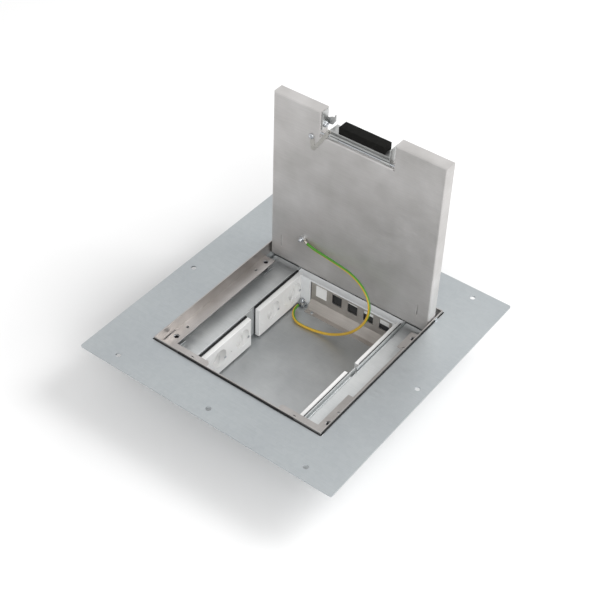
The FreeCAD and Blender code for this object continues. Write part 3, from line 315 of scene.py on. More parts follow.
@dataclass(frozen=True)
class Moulded(Finish):
    """Moulded plastic or rubber: a spark-eroded or open-pored skin, sized in millimetres."""

    shade_colour: str = "808080"
    smoother: float = 0.05
    pore: float = 0.5
    cloud: float = 25.0
    specular: float = 0.5

    def tone(self, tree: Tree, place: Socket) -> tuple[Socket, Socket]:
        """Lay pores and a faint change of tone over the skin, as Finish.tone says."""
        pores = grains(tree, place, (self.pore,) * 3, 2.0)
        clouds = grains(tree, place, (self.cloud,) * 3)
        return blend_colours(tree, stretch(tree, clouds, 0.0, 1.0), self.colour, self.shade_colour), pores

    def constants(self) -> dict[str, float]:
        """Values of the shader's other sockets."""
        return {"Specular IOR Level": self.specular}


@dataclass(frozen=True)
class StripedCable(Finish):
    """Extruded cable sheath with a stripe of its first colour, turning slowly along it."""

    second_colour: str = "C9A333"
    smoother: float = 0.06
    relief: float = 0.02
    scuff: float = 2.5
    turns_per_metre: float = 1.1
    start_turn: float = 0.295
    stripe: float = 0.40
    edge: float = 0.02

    def tone(self, tree: Tree, place: Socket) -> tuple[Socket, Socket]:
        """Colour the sheath from the angle round it and the way along it, as Finish.tone says."""
        flat = add_node(tree, "ShaderNodeUVMap", uv_map=CORD_MAP).outputs["UV"]
        parts = add_node(tree, "ShaderNodeSeparateXYZ", {"Vector": flat}).outputs
        turn = reckon(tree, "MULTIPLY_ADD", parts["Y"], self.turns_per_metre, self.start_turn)
        share = reckon(tree, "FRACT", reckon(tree, "ADD", parts["X"], turn))
        inside = reckon(tree, "ABSOLUTE", reckon(tree, "SUBTRACT", share, 0.5))
        border = self.stripe / 2
        ground = stretch(tree, inside, 0.0, 1.0, border - self.edge, border + self.edge)
        tone = blend_colours(tree, ground, self.colour, self.second_colour)
        return tone, grains(tree, place, (self.scuff,) * 3)


# Brush lines, spark erosion and the pores of rubber are really finer than 0.1 mm. They are drawn
# 0.5 to 0.9 mm wide, so that they aren't lost between the picture's pixels.

# Hot-dip galvanised mild steel, skin-passed: cool grey, satin, with a faint spangle.
GALVANISED_PLATE = SheetMetal("steel_galvanised_skin_passed", "B2B7B9", cloud_colour="ACB1B4",
                              roughness=0.46, cloud=140.0, grain=(60.0, 0.9, 60.0), grain_share=0.025,
                              relief=0.003, spangle=7.0)
# The same sheet inside the tub, painted paler than the plate to stand in for light that the shaded tub
# lacks: duller and cloudier.
GALVANISED_TUB = SheetMetal("steel_galvanised_tub_painted_light", "C2C5C6", cloud_colour="B4B7B9", roughness=0.48,
                            cloud=70.0, grain=(50.0, 1.0, 50.0), grain_share=0.02, relief=0.002, spangle=9.0)
# The same galvanised sheet on the side housings and socket carriers, painted paler than the plate to stand
# in for light that their shaded place in the tub lacks; more matt.
GALVANISED_PAINTED_LIGHT = SheetMetal("steel_galvanised_painted_light", "D6D8D8", cloud_colour="C8CBCC", roughness=0.58,
                               cloud=55.0, grain=(50.0, 1.0, 50.0), grain_share=0.03, relief=0.003,
                               spangle=8.0)
# Cold-rolled stainless steel, finely brushed and wiped: warm grey with large soft clouds, painted paler than
# the frame's copy to stand in for light that the lid's upright face lacks.
BRUSHED_LID = SheetMetal("stainless_steel_brushed_lid_painted_light", "CDCBCA", cloud_colour="B9B7B5", roughness=0.58,
                         cloud=75.0, grain=(40.0, 40.0, 0.8), grain_share=0.02, relief=0.002)
# The same steel brushed along the frame, sharper in its gloss; darker than the lid, whose colour is painted
# paler.
BRUSHED_FRAME = SheetMetal("stainless_steel_brushed_frame", "BCB9B7", cloud_colour="ABA7A4",
                           roughness=0.38, cloud=60.0, grain=(0.8, 40.0, 40.0), grain_share=0.06,
                           relief=0.004)
# Zinc-plated mild steel sheet, folded: pale and even.
ZINC_SHEET = SheetMetal("mild_steel_zinc_plated_sheet", "C3C4C3", cloud_colour="B4B5B4", roughness=0.36,
                        cloud=30.0, grain=(30.0, 0.7, 30.0), grain_share=0.06)
# Rolled spring strip: warm grey, with the mill's lines along it.
SPRING_STRIP = SheetMetal("spring_steel_rolled_strip", "BDBBB6", cloud_colour="A9A7A2", roughness=0.32,
                          cloud=12.0, grain=(6.0, 6.0, 0.5), grain_share=0.1)
# Stainless sheet with its dull rolled skin: warm, soft and without sharp reflections.
PANEL_STEEL = SheetMetal("stainless_steel_dull_rolled", "C4BFBA", cloud_colour="B4AEA9", roughness=0.62,
                         cloud=45.0, grain=(40.0, 40.0, 0.9), grain_share=0.05)
# Bright zinc plate on turned and headed fasteners: cool grey and fairly sharp.
BRIGHT_ZINC = Plated("mild_steel_bright_zinc_plated", "C6C9CC", edge_colour="AAADB1", roughness=0.28)
# Alloy steel set screws, blackened and oiled: dark and dull.
BLACK_OXIDE = Plated("alloy_steel_black_oxide", "3A3A3D", edge_colour="2A2A2C", roughness=0.45)
# Copper lugs, tinned and then crimped: pale with a warm cast.
TINNED_COPPER = Plated("copper_tinned_crimped", "CFCBC3", edge_colour="B3ADA2", roughness=0.34)
# Brass clips, stamped and nickel plated: pale cream and softly glossy.
NICKEL_BRASS = Plated("brass_nickel_plated_strip", "E0DCD2", edge_colour="CFC9BD", roughness=0.45)
# Urea or ABS mouldings: white, satin from a fine spark-eroded mould.
WHITE_MOULDED = Moulded("abs_moulded_white", "E8E8E7", roughness=0.42, shade_colour="E2E2E1", pore=0.6,
                        relief=0.006)
# Polyamide from the same kind of mould: a soft black that still shows its edges.
BLACK_MOULDED = Moulded("polyamide_moulded_black", "232324", shade_colour="1C1C1D", pore=0.6)
# Polyester powder coat on steel: white with a faint orange peel.
WHITE_POWDER = Moulded("steel_powder_coated_white", "DFE1E2", roughness=0.4, shade_colour="D7D9DA",
                       pore=1.8, relief=0.02)
# EPDM rubber, extruded or moulded: nearly black and matt.
EPDM = Moulded("epdm_rubber_moulded", "161617", roughness=0.66, shade_colour="1E1E1F", pore=0.7,
               relief=0.02, specular=0.25)
# Closed-cell rubber foam with its cut faces showing: black, with an open grain.
CELL_RUBBER = Moulded("closed_cell_rubber_cut", "0C0C0B", roughness=0.8, shade_colour="141412", pore=0.9,
                      relief=0.06, cloud=8.0, specular=0.12)
# Plasticised PVC sheath, extruded in green and yellow: smooth with a soft gloss.
EARTH_PVC = StripedCable("pvc_extruded_green_yellow", "43861F", roughness=0.34)


# Shapes


@dataclass
class Shape:
    """Points, faces and flat coordinates of a mesh while it is put together."""

    points: list[Vector] = field(default_factory=list)
    faces: list[tuple[int, ...]] = field(default_factory=list)
    flat: list[Pair] = field(default_factory=list)

    def add(self, other: "Shape", at: Matrix | None = None) -> "Shape":
        """Take another shape in, moved by a matrix.

        Args:
            other: The shape to take in.
            at: Where it goes.

        Returns:
            This shape.
        """
        first = len(self.points)
        self.points += [at @ point for point in other.points] if at else other.points
        self.faces += [tuple(first + i for i in face) for face in other.faces]
        return self


def facing(origin: Sequence[float], axis: Sequence[float], turn: float = 0.0) -> Matrix:
    """Frame whose local Z points along an axis.

    Args:
        origin: Its origin in millimetres.
        axis: Direction of local Z.
        turn: Turn about the axis in degrees.

    Returns:
        A matrix from local millimetres to metres.
    """
    rotation = Vector(axis).to_track_quat("Z", "Y").to_matrix().to_4x4()
    spin = Matrix.Rotation(math.radians(turn), 4, "Z")
    return Matrix.Translation(Vector(origin) * MM) @ rotation @ spin @ Matrix.Scale(MM, 4)


def lying(origin: Vector, along: Vector, outward: Vector) -> Matrix:
    """Frame whose local X points along one axis and local Z along another.

    Args:
        origin: Its origin in millimetres.
        along: Direction of local X.
        outward: Direction of local Z.

    Returns:
        A matrix from local millimetres to metres.
    """
    axes = Matrix((along, outward.cross(along), outward)).transposed().to_4x4()
    return Matrix.Translation(origin * MM) @ axes @ Matrix.Scale(MM, 4)


def turns(segments: int) -> list[float]:
    """Angles in radians of even steps round a circle."""
    return [2 * math.pi * i / segments for i in range(segments)]


def polar(radius: float, angle: float, height: float = 0.0) -> Vector:
    """Point at a radius from local Z, an angle in radians round it and a height."""
    return Vector((radius * math.cos(angle), radius * math.sin(angle), height))


def clamp(value: float) -> float:
    """Value kept between zero and one."""
    return max(0.0, min(1.0, value))


def middle(ring: Sequence[Vector]) -> list[Vector]:
    """Ring of one point that closes an end in the middle of its neighbour."""
    return [sum(ring, Vector()) / len(ring)]


def skin(rings: Sequence[Sequence[Vector]], closed: bool = False) -> Shape:
    """Join rings of equally many points into a tube.

    Args:
        rings: The rings in order; a ring of one point closes an end.
        closed: Whether the last ring joins the first.

    Returns:
        The tube.
    """
    shape = Shape()
    starts = []
    for ring in rings:
        starts.append(len(shape.points))
        shape.points += list(ring)
    pairs = list(zip(range(len(rings)), range(1, len(rings))))
    if closed:
        pairs.append((len(rings) - 1, 0))
    for a, b in pairs:
        count = max(len(rings[a]), len(rings[b]))
        for i in range(count):
            j = (i + 1) % count
            corners = [starts[a] + i % len(rings[a]), starts[a] + j % len(rings[a]),
                       starts[b] + j % len(rings[b]), starts[b] + i % len(rings[b])]
            shape.faces.append(tuple(dict.fromkeys(corners)))
    return shape


def lathe(profile: Sequence[Pair], segments: int = 32, closed: bool = False) -> Shape:
    """Turn a profile round local Z.

    Args:
        profile: Radius and height of each corner; a radius of zero closes the end.
        segments: Number of steps round.
        closed: Whether the profile joins up, as in a ring.

    Returns:
        The turned shape.
    """
    return skin([[polar(radius, a, height) for a in (turns(segments) if radius else (0.0,))]
                 for radius, height in profile], closed)


def turned_ring(profile: Sequence[Pair], radius: float, height: float = 0.0,
                segments: int = 64) -> Shape:
    """Turn a closed profile that is given from a radius and a height.

    Args:
        profile: Each corner's distance outward and upward.
        radius: The radius that they start from.
        height: The height that they start from.
        segments: Number of steps round.

    Returns:
        The ring.
    """
    return lathe([(radius + out, height + up) for out, up in profile], segments, closed=True)


def hexagon_radius(angle: float, across: float) -> float:
    """Distance from a hexagon's middle to its edge, for an angle in radians and a size across flats."""
    sector = math.pi / 3
    return across / 2 / math.cos((angle % sector) - sector / 2)


def hex_nut(across: float, high: float, bore: float, segments: int = 60) -> Shape:
    """Hexagon nut with the turned chamfer on both faces and a countersunk bore.

    Args:
        across: Size across flats in millimetres.
        high: Height in millimetres.
        bore: Diameter of the bore in millimetres.
        segments: Number of steps round.

    Returns:
        The nut, standing on local Z = 0.
    """
    slope = math.tan(math.radians(30))
    crown = across * 0.475
    sink = 0.4
    mouth = bore / 2 + sink

    def ring(radius: Callable[[float], float], height: Callable[[float], float]) -> list[Vector]:
        """Points round the nut at a radius and height that change with the angle."""
        return [polar(radius(a), a, height(a)) for a in turns(segments)]

    def flank(angle: float) -> float:
        """Radius of the nut's flank."""
        return hexagon_radius(angle, across)

    def drop(angle: float) -> float:
        """How far the chamfer has come down at the nut's flank."""
        return (flank(angle) - crown) * slope

    rings = [ring(lambda a: bore / 2, lambda a: sink), ring(lambda a: mouth, lambda a: 0.0),
             ring(lambda a: crown, lambda a: 0.0), ring(flank, drop),
             ring(flank, lambda a: high - drop(a)), ring(lambda a: crown, lambda a: high),
             ring(lambda a: mouth, lambda a: high), ring(lambda a: bore / 2, lambda a: high - sink)]
    return skin(rings, closed=True)


def thread(radius: float, pitch: float, length: float, segments: int = 20,
           hex_socket: float = 0.0, socket_deep: float = 0.0) -> Shape:
    """Threaded rod with chamfered ends, and a hexagon socket in its top where it has one.

    Args:
        radius: Outer radius in millimetres.
        pitch: Thread pitch in millimetres.
        length: Length in millimetres.
        segments: Number of steps round.
        hex_socket: Size of the socket across flats, or zero.
        socket_deep: Depth of the socket.

    Returns:
        The rod, standing on local Z = 0.
    """
    steps_per_turn, fewest_steps = 5, 8
    steps = max(fewest_steps, round(length / pitch * steps_per_turn))
    depth = 0.54 * pitch
    chamfer = 0.8 * depth
    drill_point = 0.8
    rings = [[polar(0, 0)]]
    for step in range(steps + 1):
        height = length * step / steps
        limit = radius - max(0.0, chamfer - min(height, length - height))
        ring = []
        for i, angle in enumerate(turns(segments)):
            phase = (height / pitch - i / segments) % 1.0
            groove = depth * (1 - abs(2 * phase - 1))
            ring.append(polar(min(radius - groove, limit), angle, height))
        rings.append(ring)
    end = length
    if hex_socket:
        for height in (length, length - socket_deep):
            rings.append([polar(hexagon_radius(a, hex_socket), a, height) for a in turns(segments)])
        end = length - socket_deep - drill_point
    rings.append([polar(0, 0, end)])
    return skin(rings)


def cross_head(dia: float, high: float, recess: float, segments: int = 48, rows: int = 14) -> Shape:
    """Pan head with a cross recess.

    Args:
        dia: Diameter of the head in millimetres.
        high: Height of the head.
        recess: Length of the cross from tip to tip.
        segments: Number of steps round.
        rows: Number of steps from the middle to the rim.

    Returns:
        The head, standing on local Z = 0.
    """
    half = dia / 2
    wing = recess * 0.14
    rim_share, cut_share, cut_rise = 0.45, 0.55, 0.4
    side_ease, tip_ease = wing * 0.5, wing * 0.8

    def top(x: float, y: float, r: float) -> float:
        """Height of the head's top at a place."""
        share = min(r / half, 1.0)
        dome = high * (rim_share + (1 - rim_share) * math.sqrt(max(0.0, 1 - share ** 3)))
        reach = max(abs(x), abs(y))
        inside = clamp((wing - min(abs(x), abs(y))) / side_ease + 0.5)
        inside *= clamp((recess / 2 - reach) / tip_ease + 0.5)
        return dome - inside * high * cut_share * (1 - cut_rise * reach / half)

    rings = [[polar(0, 0, top(0, 0, 0))]]
    for row in range(1, rows + 1):
        r = half * row / rows
        rings.append([polar(r, a, top(r * math.cos(a), r * math.sin(a), r)) for a in turns(segments)])
    rings.append([Vector((p.x, p.y, 0.0)) for p in rings[-1]])
    rings.append([polar(0, 0)])
    shape = skin(rings)
    shape.faces = [tuple(reversed(face)) for face in shape.faces]
    return shape


def sweep(path: Sequence[Vector], radius: float, segments: int = 20) -> Shape:
    """Closed round tube along a line of points, with its angle and distance kept as flat coordinates.

    Args:
        path: Points of the middle line in metres.
        radius: Radius in metres.
        segments: Number of steps round.

    Returns:
        The tube, each ring with one more point than it has steps so that the flat coordinates meet.
    """
    last = len(path) - 1
    wide = segments + 1
    tangents = [(path[min(i + 1, last)] - path[max(i - 1, 0)]).normalized() for i in range(len(path))]
    side = tangents[0].orthogonal().normalized()
    shape = Shape()
    run = 0.0
    for i, (point, along) in enumerate(zip(path, tangents)):
        side = (side - along * side.dot(along)).normalized()
        other = along.cross(side)
        run += (point - path[i - 1]).length if i else 0.0
        for step in range(wide):
            angle = 2 * math.pi * step / segments
            shape.points.append(point + (side * math.cos(angle) + other * math.sin(angle)) * radius)
            shape.flat.append((step / segments, run))
    for i in range(last):
        for step in range(segments):
            a = i * wide + step
            shape.faces.append((a, a + 1, a + wide + 1, a + wide))
    shape.faces.append(tuple(reversed(range(segments))))
    shape.faces.append(tuple(last * wide + step for step in range(segments)))
    return shape


def strip(profile: Sequence[Pair], thick: float, wide: float) -> Shape:
    """Bent strip of sheet: a line in the local XZ plane, thickened and drawn out along local Y.

    Args:
        profile: Corners of the line in millimetres.
        thick: Thickness of the sheet.
        wide: Width of the strip.

    Returns:
        The strip.
    """
    line = [Vector((x, 0, z)) for x, z in profile]
    shape = Shape()
    last = len(line) - 1
    for i, point in enumerate(line):
        along = (line[min(i + 1, last)] - line[max(i - 1, 0)]).normalized()
        across = Vector((-along.z, 0, along.x)) * thick / 2
        shape.points += [point + offset + Vector((0, y, 0)) for offset in (across, -across)
                         for y in (-wide / 2, wide / 2)]
    for a in range(0, 4 * last, 4):
        b = a + 4
        shape.faces += [(a, a + 1, b + 1, b), (a + 2, b + 2, b + 3, a + 3), (a, b, b + 2, a + 2),
                        (a + 1, a + 3, b + 3, b + 1)]
    end = 4 * last
    shape.faces += [(0, 2, 3, 1), (end, end + 1, end + 3, end + 2)]
    return shape


def rounded_block(low: Sequence[float], high: Sequence[float], radius: float, steps: int = 3,
                  cell: float = 6.0) -> Shape:
    """Block with rounded edges and evenly divided faces.

    Args:
        low: Lowest corner in millimetres.
        high: Highest corner in millimetres.
        radius: Radius of the edges.
        steps: Steps in each rounding.
        cell: Largest size of a face's cells.

    Returns:
        The block.
    """
    mesh = bmesh.new()
    bmesh.ops.create_cube(mesh, size=1.0)
    size = [b - a for a, b in zip(low, high)]
    for vertex in mesh.verts:
        vertex.co = Vector(a + (c + 0.5) * s for a, c, s in zip(low, vertex.co, size))
    bmesh.ops.bevel(mesh, geom=list(mesh.edges), offset=radius, segments=steps, profile=0.5,
                    affect="EDGES")
    for axis, normal in enumerate((SIDEWAYS, INWARD, UP)):
        count = math.ceil(size[axis] / cell)
        for i in range(1, count):
            bmesh.ops.bisect_plane(mesh, geom=[*mesh.verts, *mesh.edges, *mesh.faces],
                                   plane_co=normal * (low[axis] + size[axis] * i / count), plane_no=normal)
    mesh.verts.index_update()
    shape = Shape([v.co.copy() for v in mesh.verts], [tuple(v.index for v in f.verts) for f in mesh.faces])
    mesh.free()
    return shape


# Pieces


def new_object(name: str, shape: Shape, finish: Finish) -> bpy.types.Object:
    """Turn a shape in metres into an object.

    Args:
        name: Name of the object.
        shape: Its points and faces.
        finish: Its finish.

    Returns:
        The object.
    """
    mesh = bpy.data.meshes.new(name)
    mesh.from_pydata(shape.points, [], shape.faces)
    mesh.materials.append(finish.build())
    if shape.flat:
        layer = mesh.uv_layers.new(name=CORD_MAP)
        for loop in mesh.loops:
            layer.data[loop.index].uv = shape.flat[loop.vertex_index]
        mesh.shade_smooth()
    else:
        work = bmesh.new()
        work.from_mesh(mesh)
        bmesh.ops.recalc_face_normals(work, faces=work.faces)
        work.to_mesh(mesh)
        work.free()
        mesh.shade_smooth()
        mesh.set_sharp_from_angle(angle=math.radians(SMOOTH_BELOW))
    piece = bpy.data.objects.new(name, mesh)
    bpy.context.scene.collection.objects.link(piece)
    LOG.info("%s: %d points", name, len(mesh.vertices))
    return piece


def make_piece(name: str, shape: Shape, finish: Finish, body: Body,
               node: str | None = None) -> bpy.types.Object:
    """Turn a shape in metres into a piece that rides on a body.

    Args:
        name: Name of the piece.
        shape: Its points and faces.
        finish: Its finish.
        body: The body that it rides on.
        node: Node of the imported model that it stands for, where there is one.

    Returns:
        The piece.
    """
    piece = new_object(name, shape, finish)
    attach(piece, body.value)
    if node:
        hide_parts(node)
    return piece


def make_fastener(name: str, shape: Shape, body: Body, node: str, finish: Finish = BRIGHT_ZINC) -> None:
    """Make a screw, nut, stud or washer in place of a node."""
    make_piece(name, shape, finish, body, node)


def dress(finish: Finish, *nodes: str) -> None:
    """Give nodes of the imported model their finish.

    Args:
        finish: The finish.
        nodes: Names of the nodes.
    """
    material = finish.build()
    for name in nodes:
        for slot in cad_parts[name].material_slots:
            slot.material = material
        LOG.info("%s dressed in %s", name, finish.name)


def node_box(name: str) -> tuple[Vector, Vector, Vector]:
    """Low corner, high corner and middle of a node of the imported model, in millimetres."""
    low, high = (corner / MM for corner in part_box(name))
    return low, high, (low + high) / 2


# Sub-assemblies


@dataclass
class Sheetwork:
    """Plate, tub, cassette frame, lid and the other folded sheets, which keep their own shapes."""

    weld_x: float = 192.0
    weld_y: float = 198.0
    weld_low: float = 3.0
    weld_high: float = 111.5
    weld_radius: float = 1.3
    weld_end: float = 0.3
    weld_ripple: float = 3.2
    ripple_share: float = 0.12
    wander_share: float = 0.08
    wander_pace: float = 0.2
    weld_rows: int = 90
    weld_sides: int = 12

    def dress(self) -> None:
        """Give each sheet its finish."""
        dress(GALVANISED_PLATE, "mounting_plate")
        # Tub and the sheets in it: the galvanised copy painted paler, standing in for light.
        dress(GALVANISED_TUB, "tub", "corner_brackets", "lid_stiffener", "earth_bracket")
        # Side housings and socket carriers: the galvanised copy painted paler, standing in for light.
        dress(GALVANISED_PAINTED_LIGHT, "side_housing_left", "side_housing_right",
              *[f"socket_carrier_{row}_{hand}" for row in ("front", "rear") for hand in ("left", "right")])
        dress(BRUSHED_FRAME, "cassette_frame")
        # Lid: the stainless copy painted paler, standing in for light on its upright face.
        dress(BRUSHED_LID, "lid_tray")
        dress(ZINC_SHEET, "flap_plate", "lid_bolt", "hinge_blocks")
        dress(PANEL_STEEL, "data_panel")
        dress(WHITE_POWDER, "rear_frame")
        dress(EPDM, "rim_seals")
        dress(BRIGHT_ZINC, "hinge_pins", "flap_rod")
        dress(SPRING_STRIP, "bolt_spring")

    def welds(self) -> None:
        """Lay a rippled weld down each outer corner of the tub."""
        beads = Shape()
        for side_x in (-1, 1):
            for side_y in (-1, 1):
                corner = Vector((side_x * self.weld_x, side_y * self.weld_y, 0))
                rings = []
                for i in range(self.weld_rows + 1):
                    height = self.weld_low + (self.weld_high - self.weld_low) * i / self.weld_rows
                    wander = noise.noise(Vector((side_x, side_y, height * self.wander_pace)))
                    swell = 1 + self.ripple_share * math.sin(2 * math.pi * height / self.weld_ripple)
                    radius = self.weld_radius * (swell + self.wander_share * wander)
                    radius *= 1.0 if 0 < i < self.weld_rows else self.weld_end
                    rings.append([(corner + polar(radius, a, height)) * MM for a in turns(self.weld_sides)])
                beads.add(skin([middle(rings[0]), *rings, middle(rings[-1])]))
        make_piece("tub_corner_welds", beads, GALVANISED_TUB, Body.BOX)


@dataclass
class Fasteners:
    """Screws and nuts with their threads, chamfers and recesses, in millimetres."""

    level_x: float = 173.6
    level_y: Pair = (-149.0, 118.0)
    level_low: float = 79.0
    level_long: float = 17.5
    level_radius: float = 3.98
    level_pitch: float = 1.25
    level_key: float = 4.0
    level_key_deep: float = 5.0
    level_turn: float = 20.0
    nut_low: float = 89.2
    nut_high: float = 6.5
    nut_across: float = 13.0
    nut_bore: float = 8.2
    nut_turns: Pair = (15.0, 25.0)
    housing_x: Pair = (145.0, 173.0)
    housing_y: Pair = (-164.0, 175.0)
    housing_head: Triple = (9.0, 3.2, 5.0)
    housing_thread: Pair = (2.48, 0.8)
    housing_turn: float = 23.0
    panel_x: Pair = (-72.0, 90.0)
    panel_y: float = 138.5
    panel_head: Triple = (7.0, 2.6, 4.0)
    panel_thread: Pair = (1.98, 0.7)
    panel_turns: Pair = (10.0, 40.0)
    sheet_low: float = 2.0
    sheet_top: float = 3.5
    guide_radius: float = 2.5
    guide_head: Triple = (12.0, 5.0, 6.4)
    guide_turn: float = 30.0
    spring_radius: float = 2.0
    spring_head: Triple = (11.0, 2.4, 5.6)
    spring_turn: float = 15.0

    def levelling(self) -> None:
        """Set screws and nuts at the four corners of the cassette frame."""
        screws, nuts = Shape(), Shape()
        for i, (side, y) in enumerate((s, y) for s in (-1, 1) for y in self.level_y):
            x = side * self.level_x
            screw = thread(self.level_radius, self.level_pitch, self.level_long, segments=24,
                           hex_socket=self.level_key, socket_deep=self.level_key_deep)
            screws.add(screw, facing((x, y, self.level_low), UP, self.level_turn * i))
            nut = hex_nut(self.nut_across, self.nut_high, self.nut_bore)
            nuts.add(nut, facing((x, y, self.nut_low), UP, self.nut_turns[0] + self.nut_turns[1] * i))
        make_fastener("levelling_set_screws", screws, Body.BOX, "levelling_screws", BLACK_OXIDE)
        make_fastener("levelling_hex_nuts", nuts, Body.BOX, "levelling_nuts")

    def pan_screws(self, places: Iterable[Triple], head: Triple, turning: Pair) -> Shape:
        """Pan-head screws through a sheet on the tub's floor.

        Args:
            places: X, Y and turn in degrees of each screw.
            head: Diameter, height and cross of the heads.
            turning: Radius and pitch of the threads.

        Returns:
            The screws.
        """
        screws = Shape()
        for x, y, turn in places:
            screws.add(cross_head(*head), facing((x, y, self.sheet_top), UP, turn))
            screws.add(thread(*turning, self.sheet_top - self.sheet_low, segments=16),
                       facing((x, y, self.sheet_low), UP))
        return screws

    def sheet_screws(self) -> None:
        """Pan-head screws of the housings and the data panel."""
        corners = [(side * x, y) for side in (-1, 1) for x in self.housing_x for y in self.housing_y]
        places = [(x, y, self.housing_turn * i) for i, (x, y) in enumerate(corners)]
        make_fastener("housing_pan_screws", self.pan_screws(places, self.housing_head, self.housing_thread),
                      Body.BOX, "housing_screws")
        first, step = self.panel_turns
        places = [(x, self.panel_y, first + step * i) for i, x in enumerate(self.panel_x)]
        make_fastener("panel_pan_screws", self.pan_screws(places, self.panel_head, self.panel_thread),
                      Body.BOX, "panel_screws")

    def lid_screws(self) -> None:
        """Guide screw of the bolt and the screw of its spring."""
        low, high, centre = node_box("guide_screw")
        screw = self.lid_screw(self.guide_radius, high.x - low.x, self.guide_head)
        at = facing((low.x, centre.y, centre.z), SIDEWAYS, self.guide_turn)
        make_fastener("guide_pan_screw", Shape().add(screw, at), Body.LID, "guide_screw")
        low, high, centre = node_box("spring_screw")
        screw = self.lid_screw(self.spring_radius, high.y - low.y, self.spring_head)
        at = facing((centre.x, high.y, centre.z), -INWARD, self.spring_turn)
        make_fastener("spring_pan_screw", Shape().add(screw, at), Body.LID, "spring_screw")

    def lid_screw(self, radius: float, length: float, head: Triple) -> Shape:
        """Screw with a plain shank.

        Args:
            radius: Radius of the shank.
            length: Length over all.
            head: Diameter, height and cross of the head.

        Returns:
            The screw, its head at the far end of local Z.
        """
        shank = length - head[1]
        screw = lathe([(0, 0), (radius, 0), (radius, shank)], segments=24)
        return screw.add(cross_head(*head), Matrix.Translation((0, 0, shank)))


@dataclass
class EarthPoints:
    """Studs, nuts, washer and crimped lugs at both ends of the earth wire, in millimetres."""

    stud_radius: float = 2.98
    pitch: float = 1.0
    nut_across: float = 10.0
    nut_bore: float = 6.2
    washer_radius: float = 6.0
    washer_high: float = 1.2
    washer_ease: float = 0.2
    ring_radius: float = 5.5
    hole_radius: float = 3.1
    palm: float = 1.2
    palm_ease: float = 0.25
    palm_shrink: float = 0.94
    neck_angle: float = 40.0
    neck_past: float = 1.0
    neck_share: float = 0.8
    reach: float = 5.5
    barrel_long: float = 8.0
    barrel_radius: float = 3.6
    barrel_back: float = 2.4
    barrel_wall: float = 0.78
    mouth_step: float = 0.02
    barrel_deep: float = 1.5
    flat_share: float = 0.72
    flat_past: float = 1.2
    flat_long: float = 3.0
    press_place: float = 0.48
    press_long: float = 1.5
    press_share: float = 0.38
    press_half_wide: float = 2.6
    press_bulge: float = 0.05
    lid_drop: float = 21.1
    lid_nut_turn: float = 12.0
    floor_nut_turn: float = 20.0
    floor_lug_turn: float = -90.0

    def lug(self) -> Shape:
        """Ring lug on local Z = 0 with its barrel along local X.

        Returns:
            The lug.
        """
        segments = 40
        start, span = math.radians(self.neck_angle), math.radians(360 - 2 * self.neck_angle)
        outline = [polar(self.ring_radius, start + span * i / (segments - 1)) for i in range(segments)]
        outline += [Vector((self.reach + self.neck_past, side * self.barrel_radius * self.neck_share, 0))
                    for side in (-1, 1)]
        count = len(outline)
        shape = Shape()
        for height, grow in ((0.0, self.palm_shrink), (self.palm_ease, 1.0),
                             (self.palm - self.palm_ease, 1.0), (self.palm, self.palm_shrink)):
            shape.points += [Vector((p.x * grow, p.y * grow, height)) for p in outline]
        for height in (self.palm, 0.0):
            shape.points += [polar(self.hole_radius, math.atan2(p.y, p.x), height) for p in outline]
        rings = len(shape.points) // count
        for ring in range(rings):
            a, b = ring * count, (ring + 1) % rings * count
            for i in range(count):
                j = (i + 1) % count
                shape.faces.append((a + i, a + j, b + j, b + i))
        return shape.add(self.barrel())

    def barrel(self) -> Shape:
        """Barrel with a pressed crimp, flattening towards the palm.

        Returns:
            The barrel.
        """
        rings = []
        steps, segments = 26, 28
        start = self.reach - self.barrel_back
        end = self.reach + self.barrel_long
        press_x = self.reach + self.barrel_long * self.press_place
        for x in (start + (end - start) * i / steps for i in range(steps + 1)):
            squash = 1 - self.flat_share * clamp((self.reach + self.flat_past - x) / self.flat_long)
            press = math.exp(-((x - press_x) / self.press_long) ** 2)
            ring = []
            for point in (polar(self.barrel_radius, a) for a in turns(segments)):
                z = point.y * squash
                if z > 0:
                    near = 1 - min(1.0, abs(point.x) / self.press_half_wide) ** 2
                    z *= 1 - self.press_share * press * near
                ring.append(Vector((x, point.x * (1 + self.press_bulge * press),
                                    z + self.barrel_radius * squash)))
            rings.append(ring)
        mouth = [Vector((end - self.mouth_step, p.y * self.barrel_wall,
                         self.barrel_radius + (p.z - self.barrel_radius) * self.barrel_wall))
                 for p in rings[-1]]
        deep = [Vector((end - self.barrel_deep, p.y, p.z)) for p in mouth]
        return skin([middle(rings[0]), *rings, mouth, deep, middle(deep)])

    def washer(self) -> Shape:
        """Plain washer with eased edges, standing on local Z = 0."""
        wide, high, ease = self.washer_radius, self.washer_high, self.washer_ease
        return lathe([(self.hole_radius, 0), (wide - ease, 0), (wide, ease), (wide, high - ease),
                      (wide - ease, high), (self.hole_radius, high)], segments=40, closed=True)

    def on_lid(self) -> None:
        """Stud, washer, lug and nut on the underside of the lid."""
        low, high, centre = node_box("lid_stud")
        seat = Vector((centre.x, high.y, centre.z))
        stud = Shape().add(thread(self.stud_radius, self.pitch, high.y - low.y), facing(seat, -INWARD))
        make_fastener("lid_threaded_stud", stud, Body.LID, "lid_stud")
        washer = Shape().add(self.washer(), facing(seat, -INWARD))
        make_fastener("lid_plain_washer", washer, Body.LID, "lid_washer")
        low, high, _ = node_box("lid_earth_nut")
        seat.y = high.y
        nut = hex_nut(self.nut_across, high.y - low.y, self.nut_bore)
        at = facing(seat, -INWARD, self.lid_nut_turn)
        make_fastener("lid_hex_nut", Shape().add(nut, at), Body.LID, "lid_earth_nut")
        drop = math.radians(self.lid_drop)
        seat.y = high.y + self.palm
        at = lying(seat, Vector((math.cos(drop), 0, -math.sin(drop))), -INWARD)
        make_piece("lid_crimped_lug", Shape().add(self.lug(), at), TINNED_COPPER, Body.LID,
                   "earth_lug_lid")

